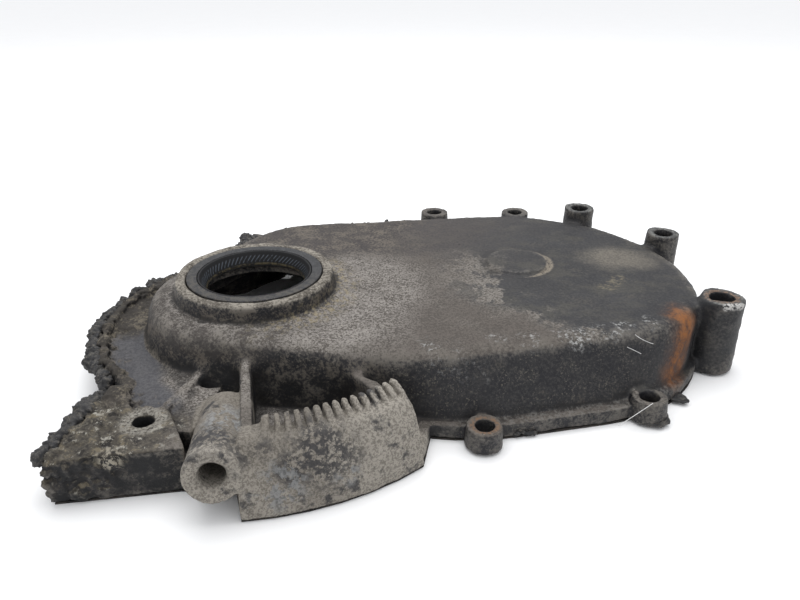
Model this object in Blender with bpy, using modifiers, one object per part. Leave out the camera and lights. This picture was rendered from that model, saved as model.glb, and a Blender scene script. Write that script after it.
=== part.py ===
"""Cast aluminium timing cover with its crank seal, gasket and sealant remains.

The cover is modelled lying on its mounting face, +Z away from the engine. Positions are
worked out from the crank axis, +X up the engine towards the camshaft, and one empty then
carries every piece to the middle of the part's own box.
"""
import itertools
import math

import bmesh
import bpy
from mathutils import Matrix, Vector

MM = 0.001

# Fits
FIT_GAP = 0.3 * MM
SEAL_SLACK = 0.3 * MM

# Seal
SEAL_OUTER_R = 33.4 * MM
SEAL_DEPTH = 9.6 * MM
SEAL_STEEL_T = 1.2 * MM
SEAL_EDGE_BREAK = 0.6 * MM
SEAL_FACE_W = 5.0 * MM
SEAL_FACE_INNER_R = SEAL_OUTER_R - SEAL_FACE_W
SEAL_RUBBER_T = 2.0 * MM
SEAL_LIP_W = 4.4 * MM
SEAL_LIP_R = SEAL_FACE_INNER_R - SEAL_LIP_W
SEAL_LIP_DROP = 6.4 * MM
LIP_TOE_W = 1.3 * MM
LIP_TOE_DROP = 1.9 * MM
LIP_HEEL_W = 1.2 * MM
LIP_RIM_T = 0.8 * MM
LIP_RIM_DROP = 0.2 * MM
SPRING_WIRE_R = 0.9 * MM
SPRING_BACK = 3.6 * MM
SPRING_DROP = 0.3 * MM

# Seal collar
COLLAR_TOP_Z = 45.0 * MM
COLLAR_WALL = 5.7 * MM
COLLAR_DRAFT = 1.1 * MM
COLLAR_CHAMFER = 1.0 * MM
COLLAR_R = SEAL_OUTER_R + COLLAR_WALL
COLLAR_FOOT_R = COLLAR_R + COLLAR_DRAFT
COLLAR_PAD_W = 6.3 * MM
COLLAR_PAD_DRAFT = 3.5 * MM
COLLAR_PAD_R = COLLAR_FOOT_R + COLLAR_PAD_W
COLLAR_PAD_FOOT_R = COLLAR_PAD_R + COLLAR_PAD_DRAFT
COLLAR_PAD_Z = 36.6 * MM
SEAL_SEAT_W = 3.8 * MM
SEAL_SEAT_R = SEAL_OUTER_R - SEAL_SEAT_W

# Flange and mounting face
FLANGE_T = 6.5 * MM
FLANGE_LEDGE = 3.8 * MM
FLANGE_END_DEG = 105.0
FLANGE_INSET = 1.5 * MM
BOLT_HOLE_R = 4.3 * MM

# How far cutters and feet run past the surfaces that they meet
SINK = 2.0 * MM
ROOT_STEP = 0.13 * MM
CUT_DEPTH = 10.0 * MM
REACH = 1.3

# Dome over the chain and sprockets
DOME_TOP_Z = 35.5 * MM
DOME_SHOULDER_Z = 29.0 * MM
DOME_FOOT_Z = 3.0 * MM
DOME_ROUND = 6.5 * MM
WALL = 4.0 * MM
CAM_X = 130.3 * MM
CAM_Y = 40.3 * MM
CAM_R = 92.0 * MM
CRANK_LAND = 3.5 * MM
CRANK_DRAFT = 7.0 * MM
CRANK_SHOULDER_R = COLLAR_PAD_FOOT_R + CRANK_LAND
CRANK_FOOT_R = CRANK_SHOULDER_R + CRANK_DRAFT
ELBOW_Y = 40.0 * MM
ELBOW_SHOULDER_X = 77.3 * MM
ELBOW_FOOT_X = 98.0 * MM
ELBOW_SHOULDER_R = 95.0 * MM
ELBOW_FOOT_R = 97.0 * MM
CORNER_JOIN_DEG = -15.0
CORNER_SHOULDER_R = 50.0 * MM
CORNER_FOOT_R = 77.0 * MM
FAR_X = 18.0 * MM
FAR_Y = 52.0 * MM
FAR_SHOULDER_R = 49.0 * MM
FAR_FOOT_R = 55.0 * MM

# Round pad over the end of the camshaft
CAM_PAD_X = 130.9 * MM
CAM_PAD_Y = 52.5 * MM
CAM_PAD_R = 18.0 * MM
CAM_PAD_H = 1.6 * MM

# Arch that closes the oil pan
ARCH_WEB_W = 18.0 * MM
ARCH_R = CRANK_FOOT_R + ARCH_WEB_W
ARCH_RIM_T = 5.0 * MM
ARCH_RIM_Z = 20.0 * MM
ARCH_RIM_BREAK = 1.2 * MM
ARCH_RIM_RUN = 8.0 * MM
WEB_LOW_Z = 13.0 * MM
WEB_TOP_Z = 17.0 * MM
WEB_START_DEG = 97.0
UNDER_WEB_MARGIN = 8.5 * MM
UNDER_WEB_R = ARCH_R - UNDER_WEB_MARGIN
UNDER_WEB_START_DEG = 101.0

# Ears that meet the pan rails
EAR_FACE_X = -42.6 * MM
EAR_NEAR_TIP_Y = 122.6 * MM
EAR_FAR_TIP_Y = 112.0 * MM
EAR_ROOT_X = 3.0 * MM
EAR_ROOT_Y = 108.8 * MM
EAR_ROOT_RUN = 4.0 * MM
EAR_Z = 20.0 * MM
EAR_HOLE_X = -16.4 * MM
EAR_HOLE_Y = 93.3 * MM
EAR_BOSS_R = 11.0 * MM
EAR_NOTCH_Y = 71.0 * MM
EAR_NOTCH_W = 6.0 * MM
EAR_SLANT = 2.0 * MM
EAR_INNER_ARC = (220.0, 330.0)
EAR_WEB_Z = 16.6 * MM

# Timing scale, a toothed plate turned about the crank
SCALE_TOP_R = 107.0 * MM
SCALE_TOP_Z = 33.0 * MM
SCALE_BROW_R = 110.0 * MM
SCALE_BROW_Z = 31.4 * MM
SCALE_KNEE_R = 119.8 * MM
SCALE_KNEE_Z = 22.0 * MM
SCALE_FOOT_R = 125.0 * MM
SCALE_FOOT_Z = 7.0 * MM
SCALE_T = 4.6 * MM
SCALE_RIM_T = 2.6 * MM
SCALE_CROWN = 1.0 * MM
SCALE_BREAK = 0.5 * MM
SCALE_START_DEG = -75.0
SCALE_END_DEG = -39.8
SCALE_ROOT_R = 108.5 * MM
SCALE_ROOT_DEG = -76.8
TOOTH_FIRST_DEG = -69.2
TOOTH_STEP_DEG = 2.07
TOOTH_COUNT = 14
NOTCH_W = 1.8 * MM
NOTCH_FLOOR_Z = 28.4 * MM
SCALE_STEP_Z = 29.4 * MM

# Probe tube beside the scale
TUBE_MOUTH_X = 23.6 * MM
TUBE_MOUTH_Y = -121.1 * MM
TUBE_MOUTH_Z = 20.0 * MM
TUBE_HEADING_DEG = -74.2
TUBE_RISE_DEG = 7.0
TUBE_LENGTH = 50.0 * MM
TUBE_R = 10.9 * MM
TUBE_DRAFT = 1.0 * MM
TUBE_BORE_R = 5.2 * MM
TUBE_MOUTH_R = 7.0 * MM
SADDLE_W = 17.0 * MM
SADDLE_Z = 12.5 * MM
SADDLE_SETBACK = 12.0 * MM

# Ribs that stiffen the near side: angle and radius at each end, and the heights there
RIB_W = 4.5 * MM
TUBE_RIB = ((-78.0, 50.0 * MM, 28.0 * MM), (-73.4, 107.0 * MM, 26.0 * MM))
SCALE_RIB = ((-41.8, 66.0 * MM, 28.3 * MM), (-42.4, 108.0 * MM, 27.6 * MM))
EAR_RIB = ((-99.0, 50.0 * MM, 20.5 * MM), (-99.6, 86.0 * MM, 18.2 * MM))

# Gasket remains
GASKET_T = 0.8 * MM
GASKET_INSET = 1.0 * MM
GASKET_HOLE_R = 5.0 * MM

# Sealant beads, whose lumps swell and thin their radius by a share
BEAD_R = 1.8 * MM
BEAD_STEP = 4.0 * MM
BEAD_LUMP = 0.18
BEAD_WAVES = (2.4, 0.9)

# Resolution
ROUND_STEPS = 64
SCALE_STEPS = 180
RIM_STEPS = 96
SPRING_STEPS = 48
WIRE_STEPS = 10
PAD_STEPS = 40
TUBE_STEPS = 32
BOSS_STEPS = 28
HOLE_STEPS = 20
BEAD_STEPS = 2
SHOULDER_STEPS = 4
CRANK_ARC_STEPS = 20
ELBOW_ARC_STEPS = 4
CORNER_ARC_STEPS = 8
CAM_ARC_STEPS = 22
FAR_ARC_STEPS = 10
ARC_STEP_DEG = 6.0
MERGE = 0.01 * MM

# Bolt bosses round the dome: angle about the dome's centre, centre beyond the dome
# wall, top radius, height and hole radius
BOSSES = {
    "near": (-96.3, 11.0 * MM, 7.8 * MM, 9.75 * MM, BOLT_HOLE_R),
    "near_right": (-49.7, 1.9 * MM, 8.0 * MM, 11.0 * MM, BOLT_HOLE_R),
    "tall": (-11.8, 9.4 * MM, 10.6 * MM, 38.1 * MM, 5.6 * MM),
    "far_right": (32.1, 7.6 * MM, 9.1 * MM, 42.5 * MM, 5.1 * MM),
    "far_top": (66.3, 7.1 * MM, 9.1 * MM, 42.5 * MM, 5.1 * MM),
    "far_mid": (90.4, 3.0 * MM, 8.7 * MM, 36.0 * MM, 4.5 * MM),
    "far_left": (121.2, 10.4 * MM, 8.7 * MM, 36.0 * MM, 4.5 * MM),
}
BOSS_DRAFT = 0.8 * MM
BOSS_WEB_W = 9.0 * MM
BOSS_WEB_Z = 32.6 * MM
BOSS_WEB_DROP = 3.0 * MM
LOW_BOSS_Z = 15.0 * MM

ROOTS = itertools.count(1)


def clear_scene():
    for obj in list(bpy.data.objects):
        bpy.data.objects.remove(obj, do_unlink=True)


def new_collection(name, parent=None):
    made = bpy.data.collections.new(name)
    (parent or bpy.context.scene.collection).children.link(made)
    return made


def principled(name, colour, roughness, metallic):
    made = bpy.data.materials.new(name)
    made.use_nodes = True
    shader = made.node_tree.nodes["Principled BSDF"]
    shader.inputs["Base Color"].default_value = (*colour, 1.0)
    shader.inputs["Roughness"].default_value = roughness
    shader.inputs["Metallic"].default_value = metallic
    return made


def object_from_bmesh(name, bm, collection):
    mesh = bpy.data.meshes.new(name)
    bm.to_mesh(mesh)
    bm.free()
    obj = bpy.data.objects.new(name, mesh)
    collection.objects.link(obj)
    return obj


def polar(radius, degrees, centre=(0.0, 0.0)):
    angle = math.radians(degrees)
    return centre[0] + radius * math.cos(angle), centre[1] + radius * math.sin(angle)


def arc(centre, radius, start_deg, end_deg, steps=None):
    """Points along an arc, both ends included."""
    if steps is None:
        steps = max(2, round(abs(end_deg - start_deg) / ARC_STEP_DEG))
    span = end_deg - start_deg
    return [polar(radius, start_deg + span * i / steps, centre) for i in range(steps + 1)]


def mesh_from_curve(curve_obj, collection):
    """Turn a curve object into a mesh object with its caps welded on."""
    graph = bpy.context.evaluated_depsgraph_get()
    mesh = bpy.data.meshes.new_from_object(curve_obj.evaluated_get(graph))
    bm = bmesh.new()
    bm.from_mesh(mesh)
    bmesh.ops.remove_doubles(bm, verts=bm.verts, dist=MERGE)
    bm.to_mesh(mesh)
    bm.free()
    name = curve_obj.name
    placed = curve_obj.matrix_world.copy()
    bpy.data.objects.remove(curve_obj, do_unlink=True)
    obj = bpy.data.objects.new(name, mesh)
    obj.matrix_world = placed
    mesh.name = name
    collection.objects.link(obj)
    return obj


def prism(name, outline, low_z, high_z, collection):
    """A flat outline extruded from low_z to high_z."""
    curve = bpy.data.curves.new(name, "CURVE")
    curve.dimensions = "2D"
    curve.fill_mode = "BOTH"
    curve.extrude = (high_z - low_z) / 2
    spline = curve.splines.new("POLY")
    spline.points.add(len(outline) - 1)
    for point, (x, y) in zip(spline.points, outline):
        point.co = (x, y, 0.0, 1.0)
    spline.use_cyclic_u = True
    obj = bpy.data.objects.new(name, curve)
    obj.location.z = (high_z + low_z) / 2
    bpy.context.scene.collection.objects.link(obj)
    bpy.context.view_layer.update()
    return mesh_from_curve(obj, collection)


def turned(name, profile, collection, steps=ROUND_STEPS, closed=True):
    """A profile of (radius, height) points turned about Z with a Screw modifier."""
    bm = bmesh.new()
    points = [bm.verts.new((radius, 0.0, height)) for radius, height in profile]
    for first, second in zip(points, points[1:]):
        bm.edges.new((first, second))
    if closed:
        bm.edges.new((points[-1], points[0]))
    obj = object_from_bmesh(name, bm, collection)
    screw = obj.modifiers.new("turn", "SCREW")
    screw.steps = steps
    screw.render_steps = steps
    screw.use_merge_vertices = True
    screw.merge_threshold = MERGE
    screw.use_smooth_shade = True
    return obj


def loft(name, sections, collection):
    """Skin a stack of closed sections, bottom first, and cap both ends."""
    bm = bmesh.new()
    rings = [[bm.verts.new(point) for point in section] for section in sections]
    for low, high in zip(rings, rings[1:]):
        for i in range(len(low)):
            j = (i + 1) % len(low)
            bm.faces.new((low[i], low[j], high[j], high[i]))
    bm.faces.new(list(reversed(rings[0])))
    bm.faces.new(rings[-1])
    return object_from_bmesh(name, bm, collection)


def cylinder(name, low_r, high_r, length, collection, steps):
    """A cylinder or cone from z 0 up to its length."""
    bm = bmesh.new()
    bmesh.ops.create_cone(bm, cap_ends=True, segments=steps, radius1=low_r,
                          radius2=high_r, depth=length,
                          matrix=Matrix.Translation((0.0, 0.0, length / 2)))
    for face in bm.faces:
        face.smooth = len(face.verts) == 4
    for edge in bm.edges:
        edge.smooth = all(face.smooth for face in edge.link_faces)
    return object_from_bmesh(name, bm, collection)


def box(name, low, high, collection):
    bm = bmesh.new()
    size = [b - a for a, b in zip(low, high)]
    middle = Vector([(a + b) / 2 for a, b in zip(low, high)])
    placed = Matrix.Translation(middle) @ Matrix.Diagonal((*size, 1.0))
    bmesh.ops.create_cube(bm, size=1.0, matrix=placed)
    return object_from_bmesh(name, bm, collection)


def root_z():
    """Depth for the next piece's foot below the mounting face.

    Each foot ends a little deeper than the last, so that no two share a plane before
    the mounting face is cut across them all.
    """
    return -SINK - next(ROOTS) * ROOT_STEP


def keep_inside(target, operand):
    """Keep only what of the target lies inside the operand."""
    made = target.modifiers.new(f"keep inside {operand.name}", "BOOLEAN")
    made.operation = "INTERSECT"
    made.solver = "EXACT"
    made.object = operand


def combine(target, operands, operation):
    """Join to the target, or cut from it, everything in a collection at once."""
    made = target.modifiers.new(f"{operation.lower()} {operands.name}", "BOOLEAN")
    made.operation = operation
    made.solver = "EXACT"
    made.operand_type = "COLLECTION"
    made.collection = operands


def tangent_deg(from_circle, to_circle):
    """Outward angle of the line that touches two circles, met counter-clockwise."""
    (x1, y1), r1 = from_circle
    (x2, y2), r2 = to_circle
    away = math.hypot(x2 - x1, y2 - y1)
    heading = math.atan2(y2 - y1, x2 - x1)
    touch = heading - math.acos((r1 - r2) / away)
    return math.degrees(math.atan2(math.sin(touch), math.cos(touch)))


def near_side(elbow_x, elbow_r, corner_r, cam_r, start_deg, end_deg):
    """Arcs along the near side and round the cam end, from the elbow on.

    The near corner's arc touches the cam arc from inside at a fixed angle, so both stay
    smooth at every height while the near wall leans.
    """
    elbow = ((elbow_x, ELBOW_Y), elbow_r)
    corner = (polar(cam_r - corner_r, CORNER_JOIN_DEG, (CAM_X, CAM_Y)), corner_r)
    line = tangent_deg(elbow, corner)
    points = arc(*elbow, start_deg, line, ELBOW_ARC_STEPS)
    points += arc(*corner, line, CORNER_JOIN_DEG, CORNER_ARC_STEPS)
    points += arc((CAM_X, CAM_Y), cam_r, CORNER_JOIN_DEG, end_deg, CAM_ARC_STEPS)[1:]
    return points


def dome_outline(crank_r, elbow_x, elbow_r, corner_r, cam_r, far_r):
    """Outline of the dome at one height: five arcs joined by their tangent lines."""
    crank = ((0.0, 0.0), crank_r)
    elbow = ((elbow_x, ELBOW_Y), elbow_r)
    cam = ((CAM_X, CAM_Y), cam_r)
    far = ((FAR_X, FAR_Y), far_r)
    near_line = tangent_deg(crank, elbow)
    far_line = tangent_deg(cam, far)
    end_line = tangent_deg(far, crank)
    points = arc(*crank, end_line, near_line + 360.0, CRANK_ARC_STEPS)
    points += near_side(elbow_x, elbow_r, corner_r, cam_r, near_line, far_line)
    points += arc(*far, far_line, end_line, FAR_ARC_STEPS)
    return points


def dome_section(z, inset):
    """Section of the dome at a height, moved in by the wall for the hollow side."""
    share = (z - DOME_FOOT_Z) / (DOME_SHOULDER_Z - DOME_FOOT_Z)
    share = max(0.0, min(1.0, share))

    def between(foot, shoulder):
        return foot + (shoulder - foot) * share

    outline = dome_outline(between(CRANK_FOOT_R, CRANK_SHOULDER_R) - inset,
                           between(ELBOW_FOOT_X, ELBOW_SHOULDER_X),
                           between(ELBOW_FOOT_R, ELBOW_SHOULDER_R) - inset,
                           between(CORNER_FOOT_R, CORNER_SHOULDER_R) - inset,
                           CAM_R - inset,
                           between(FAR_FOOT_R, FAR_SHOULDER_R) - inset)
    return [(x, y, z) for x, y in outline]


def dome_skin(name, low_z, top_z, round_r, inset, collection):
    """The dome's outer or inner skin, with a rounded shoulder under its flat top."""
    sections = [dome_section(low_z, inset), dome_section(top_z - round_r, inset)]
    for i in range(1, SHOULDER_STEPS + 1):
        angle = math.radians(90.0 * i / SHOULDER_STEPS)
        z = top_z - round_r + round_r * math.sin(angle)
        sections.append([(x, y, z) for x, y, _ in dome_section(
            top_z - round_r, inset + round_r * (1.0 - math.cos(angle)))])
    return loft(name, sections, collection)


def boss_place(name):
    degrees, beyond, _, _, _ = BOSSES[name]
    return polar(CAM_R + beyond, degrees, (CAM_X, CAM_Y))


def flange_outline(inset):
    """Outline of the flange, counter-clockwise from the near ear's tip.

    The inset keeps it inside the ears, the rim and the scale, which end at the full size.
    """
    face_x = EAR_FACE_X + inset
    root_y = EAR_ROOT_Y - inset
    arch_r = ARCH_R - inset
    elbow_r = ELBOW_FOOT_R + FLANGE_LEDGE
    scale_end_x, _ = polar(SCALE_FOOT_R, SCALE_END_DEG)
    elbow_start = -math.degrees(math.acos((scale_end_x - ELBOW_FOOT_X) / elbow_r))
    points = [(face_x, inset - EAR_NEAR_TIP_Y), (EAR_ROOT_X, -root_y)]
    points.append(polar(SCALE_ROOT_R, SCALE_ROOT_DEG))
    points += arc((0.0, 0.0), SCALE_FOOT_R - inset, SCALE_START_DEG, SCALE_END_DEG)
    points += near_side(ELBOW_FOOT_X, elbow_r, CORNER_FOOT_R + FLANGE_LEDGE,
                        CAM_R + FLANGE_LEDGE, elbow_start, FLANGE_END_DEG)
    points += [(EAR_ROOT_X, root_y), (face_x, EAR_FAR_TIP_Y - inset)]
    arch_deg = math.degrees(math.acos(face_x / arch_r))
    points += arc((0.0, 0.0), arch_r, arch_deg, 360.0 - arch_deg)
    return points


def ear_outline(side, tip_y):
    """Outline of an ear; side is -1 near, +1 far."""
    lower = [(EAR_FACE_X, tip_y), (EAR_FACE_X, EAR_NOTCH_Y),
             (EAR_FACE_X + EAR_NOTCH_W, EAR_NOTCH_Y - EAR_SLANT)]
    inner = arc((EAR_HOLE_X, EAR_HOLE_Y), EAR_BOSS_R, *EAR_INNER_ARC)
    points = lower + inner + [(EAR_ROOT_X + EAR_ROOT_RUN, EAR_ROOT_Y - EAR_SLANT)]
    points = [(x, side * y) for x, y in points]
    return points if side > 0 else list(reversed(points))


def ear_web_outline(side):
    """Floor between the arch's web and an ear, as wide as the ear's root."""
    inner_r = ARCH_R - ARCH_RIM_T
    arch_x = EAR_FACE_X + EAR_NOTCH_W
    arch_y = math.sqrt(inner_r ** 2 - arch_x ** 2)
    points = [(arch_x, arch_y), (arch_x, EAR_NOTCH_Y), (EAR_HOLE_X - EAR_BOSS_R, EAR_HOLE_Y),
              (EAR_ROOT_X, EAR_HOLE_Y), (EAR_ROOT_X, CRANK_FOOT_R)]
    points = [(x, side * y) for x, y in points]
    return points if side < 0 else list(reversed(points))


def rib(name, start, end, start_z, end_z, width, collection):
    """A straight rib between two places, its top sloping from start_z to end_z."""
    low_z = root_z()
    along = Vector((end[0] - start[0], end[1] - start[1]))
    across = Vector((-along.y, along.x)).normalized() * (width / 2)
    bm = bmesh.new()
    corners = []
    for place, top in ((Vector(start), start_z), (Vector(end), end_z)):
        for side in (1, -1):
            x, y = place + across * side
            corners.append((bm.verts.new((x, y, low_z)), bm.verts.new((x, y, top))))
    a, b, c, d = corners
    bm.faces.new((a[0], b[0], b[1], a[1]))
    bm.faces.new((d[0], c[0], c[1], d[1]))
    bm.faces.new((b[0], d[0], d[1], b[1]))
    bm.faces.new((c[0], a[0], a[1], c[1]))
    bm.faces.new((a[1], b[1], d[1], c[1]))
    bm.faces.new((b[0], a[0], c[0], d[0]))
    bmesh.ops.recalc_face_normals(bm, faces=bm.faces)
    return object_from_bmesh(name, bm, collection)


def scale_plate(solids, tools):
    """The timing scale: a turned skirt cut to its sector."""
    foot_z = root_z()
    lean = SCALE_T * math.sqrt(0.5)
    outer = [(SCALE_TOP_R, SCALE_TOP_Z),
             (SCALE_BROW_R, SCALE_BROW_Z),
             ((SCALE_BROW_R + SCALE_KNEE_R) / 2 + SCALE_CROWN,
              (SCALE_BROW_Z + SCALE_KNEE_Z) / 2 + SCALE_CROWN),
             (SCALE_KNEE_R, SCALE_KNEE_Z),
             (SCALE_FOOT_R - SCALE_RIM_T, (SCALE_KNEE_Z + SCALE_FOOT_Z) / 2),
             (SCALE_FOOT_R - SCALE_CROWN, SCALE_FOOT_Z),
             (SCALE_FOOT_R, foot_z)]
    inner = [(SCALE_FOOT_R - SCALE_T, foot_z),
             (SCALE_KNEE_R - SCALE_T + SCALE_CROWN, (SCALE_KNEE_Z + SCALE_FOOT_Z) / 2),
             (SCALE_KNEE_R - SCALE_T, SCALE_KNEE_Z - lean),
             (SCALE_BROW_R - lean, SCALE_BROW_Z - lean),
             (SCALE_TOP_R - SCALE_RIM_T, SCALE_BROW_Z - lean / 2),
             (SCALE_TOP_R - SCALE_RIM_T, SCALE_TOP_Z - SCALE_BREAK)]
    plate = turned("scale_plate", outer + inner, solids, steps=SCALE_STEPS)
    sector = [(0.0, 0.0)]
    sector += arc((0.0, 0.0), SCALE_FOOT_R * REACH, SCALE_START_DEG, SCALE_END_DEG)
    wedge = prism("scale_sector", sector, foot_z - SINK, SCALE_TOP_Z + SINK, tools)
    keep_inside(plate, wedge)


def add_scale_cuts(cuts):
    """The notches between the scale's teeth, and the low step beside its first tooth."""
    for index in range(TOOTH_COUNT):
        degrees = TOOTH_FIRST_DEG + (index + 0.5) * TOOTH_STEP_DEG
        notch = box(f"scale_notch_{index + 1:02d}",
                    (SCALE_TOP_R - 2 * SCALE_T, -NOTCH_W / 2, NOTCH_FLOOR_Z),
                    (SCALE_TOP_R + 3 * SCALE_T, NOTCH_W / 2, SCALE_TOP_Z + SINK), cuts)
        notch.rotation_euler.z = math.radians(degrees)
    step_end = TOOTH_FIRST_DEG - TOOTH_STEP_DEG / 2
    step = arc((0.0, 0.0), SCALE_TOP_R - 2 * SCALE_T, step_end, SCALE_START_DEG - TOOTH_STEP_DEG)
    step += arc((0.0, 0.0), SCALE_FOOT_R, SCALE_START_DEG - TOOTH_STEP_DEG, step_end)
    prism("scale_step", list(reversed(step)), SCALE_STEP_Z, SCALE_TOP_Z + SINK, cuts)


def tube_matrix():
    """Placement of the probe tube: its own +Z runs from its back out to its mouth."""
    heading = math.radians(TUBE_HEADING_DEG)
    rise = math.radians(TUBE_RISE_DEG)
    axis = Vector((math.cos(heading) * math.cos(rise),
                   math.sin(heading) * math.cos(rise), math.sin(rise)))
    mouth = Vector((TUBE_MOUTH_X, TUBE_MOUTH_Y, TUBE_MOUTH_Z))
    turn = axis.to_track_quat("Z", "Y").to_matrix().to_4x4()
    return Matrix.Translation(mouth - axis * TUBE_LENGTH) @ turn


def add_bosses(solids):
    for name, (degrees, beyond, radius, height, _) in BOSSES.items():
        x, y = boss_place(name)
        foot_z = root_z()
        column = cylinder(f"boss_{name}", radius + BOSS_DRAFT, radius, height - foot_z,
                          solids, BOSS_STEPS)
        column.location = (x, y, foot_z)
        inner = polar(CAM_R - 2 * WALL, degrees, (CAM_X, CAM_Y))
        if height > LOW_BOSS_Z:
            rib(f"web_{name}", inner, (x, y), BOSS_WEB_Z, height - BOSS_WEB_DROP, BOSS_WEB_W,
                solids)


def add_bolt_holes(cuts):
    places = {name: (boss_place(name), spec[4]) for name, spec in BOSSES.items()}
    places["ear_near"] = ((EAR_HOLE_X, -EAR_HOLE_Y), BOLT_HOLE_R)
    places["ear_far"] = ((EAR_HOLE_X, EAR_HOLE_Y), BOLT_HOLE_R)
    for name, ((x, y), radius) in places.items():
        hole = cylinder(f"hole_{name}", radius, radius, COLLAR_TOP_Z + 2 * CUT_DEPTH, cuts,
                        HOLE_STEPS)
        hole.location = (x, y, -0.8 * CUT_DEPTH)


def add_collar(solids):
    profile = [(0.0, COLLAR_TOP_Z),
               (COLLAR_R - COLLAR_CHAMFER, COLLAR_TOP_Z),
               (COLLAR_R, COLLAR_TOP_Z - COLLAR_CHAMFER),
               (COLLAR_FOOT_R, COLLAR_PAD_Z),
               (COLLAR_PAD_R, COLLAR_PAD_Z),
               (COLLAR_PAD_FOOT_R, DOME_TOP_Z - WALL / 2),
               (0.0, DOME_TOP_Z - WALL / 2)]
    turned("seal_collar", profile, solids, closed=False)


def add_seal_bore(cuts):
    bore_r = SEAL_OUTER_R + SEAL_SLACK
    seat_z = COLLAR_TOP_Z - SEAL_DEPTH - SEAL_SLACK
    profile = [(0.0, COLLAR_TOP_Z + SINK),
               (bore_r + COLLAR_CHAMFER + SINK, COLLAR_TOP_Z + SINK),
               (bore_r, COLLAR_TOP_Z - COLLAR_CHAMFER),
               (bore_r, seat_z),
               (SEAL_SEAT_R, seat_z),
               (SEAL_SEAT_R, WEB_LOW_Z),
               (0.0, WEB_LOW_Z)]
    turned("seal_bore", profile, cuts, closed=False)


def arch_sector(radius, start_deg):
    """The arch's side of a disc round the crank, as a flat outline."""
    return [(0.0, 0.0)] + arc((0.0, 0.0), radius, start_deg, 360.0 - start_deg)


def add_arch(solids, tools):
    """The web round the crank and the raised rim of the pan arch."""
    prism("arch_web", arch_sector(ARCH_R - ARCH_RIM_T / 2, WEB_START_DEG), root_z(), WEB_TOP_Z,
          solids)
    for side, name in ((-1, "near"), (1, "far")):
        prism(f"ear_web_{name}", ear_web_outline(side), root_z(), EAR_WEB_Z, solids)
    rim_foot_z = root_z()
    inner_r = ARCH_R - ARCH_RIM_T
    profile = [(ARCH_R - ARCH_RIM_BREAK, ARCH_RIM_Z),
               (ARCH_R, ARCH_RIM_Z - ARCH_RIM_BREAK),
               (ARCH_R, rim_foot_z),
               (inner_r, rim_foot_z),
               (inner_r, ARCH_RIM_Z - ARCH_RIM_BREAK),
               (inner_r + ARCH_RIM_BREAK, ARCH_RIM_Z)]
    rim = turned("arch_rim", profile, solids, steps=RIM_STEPS)
    keep = box("arch_side", (-ARCH_R * REACH, -ARCH_R * REACH, rim_foot_z - SINK),
               (EAR_FACE_X + ARCH_RIM_RUN, ARCH_R * REACH, ARCH_RIM_Z + SINK), tools)
    keep_inside(rim, keep)


def add_tube(solids):
    tube = cylinder("probe_tube", TUBE_R - TUBE_DRAFT, TUBE_R, TUBE_LENGTH, solids, TUBE_STEPS)
    tube.matrix_world = tube_matrix()
    mouth = (TUBE_MOUTH_X, TUBE_MOUTH_Y)
    back = polar(-TUBE_LENGTH, TUBE_HEADING_DEG, mouth)
    front = polar(-SADDLE_SETBACK, TUBE_HEADING_DEG, mouth)
    rib("tube_saddle", back, front, SADDLE_Z, TUBE_MOUTH_Z - TUBE_R / 2, SADDLE_W, solids)


def add_tube_bore(cuts):
    profile = [(0.0, TUBE_LENGTH + SINK),
               (TUBE_MOUTH_R + SINK, TUBE_LENGTH + SINK),
               (TUBE_BORE_R, TUBE_LENGTH - (TUBE_MOUTH_R - TUBE_BORE_R)),
               (TUBE_BORE_R, -SINK),
               (0.0, -SINK)]
    bore = turned("probe_bore", profile, cuts, steps=BOSS_STEPS, closed=False)
    bore.matrix_world = tube_matrix()


def add_ribs(solids):
    for name, (start, end) in (("rib_tube", TUBE_RIB), ("rib_scale", SCALE_RIB),
                               ("rib_ear", EAR_RIB)):
        start_deg, start_r, start_z = start
        end_deg, end_r, end_z = end
        rib(name, polar(start_r, start_deg), polar(end_r, end_deg), start_z, end_z, RIB_W,
            solids)


def build_casting(parts, tools):
    """The casting: every solid joined, then the hollow side and all holes cut."""
    solids = new_collection("casting_solids", tools)
    cuts = new_collection("casting_cuts", tools)
    casting = prism("cover_casting", flange_outline(FLANGE_INSET), root_z(), FLANGE_T, parts)
    dome_skin("dome_outer", DOME_FOOT_Z, DOME_TOP_Z, DOME_ROUND, 0.0, solids)
    add_arch(solids, tools)
    prism("ear_near", ear_outline(-1, EAR_NEAR_TIP_Y), root_z(), EAR_Z, solids)
    prism("ear_far", ear_outline(1, EAR_FAR_TIP_Y), root_z(), EAR_Z, solids)
    add_bosses(solids)
    add_ribs(solids)
    scale_plate(solids, tools)
    add_tube(solids)
    pad = turned("cam_pad", [(0.0, DOME_TOP_Z + CAM_PAD_H),
                             (CAM_PAD_R - CAM_PAD_H, DOME_TOP_Z + CAM_PAD_H),
                             (CAM_PAD_R, DOME_TOP_Z), (CAM_PAD_R, DOME_TOP_Z - WALL / 2),
                             (0.0, DOME_TOP_Z - WALL / 2)], solids, PAD_STEPS, closed=False)
    pad.location = (CAM_PAD_X, CAM_PAD_Y, 0.0)
    add_collar(solids)
    combine(casting, solids, "UNION")

    dome_skin("dome_inner", -CUT_DEPTH, DOME_TOP_Z - WALL, DOME_ROUND - WALL / 2, WALL, cuts)
    prism("under_web", arch_sector(UNDER_WEB_R, UNDER_WEB_START_DEG), -CUT_DEPTH - SINK / 2,
          WEB_LOW_Z, cuts)
    add_seal_bore(cuts)
    add_tube_bore(cuts)
    add_bolt_holes(cuts)
    add_scale_cuts(cuts)
    reach = 4 * SCALE_FOOT_R
    box("mounting_face", (-reach, -reach, -2 * CUT_DEPTH), (reach, reach, 0.0), cuts)
    combine(casting, cuts, "DIFFERENCE")
    return casting


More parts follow.
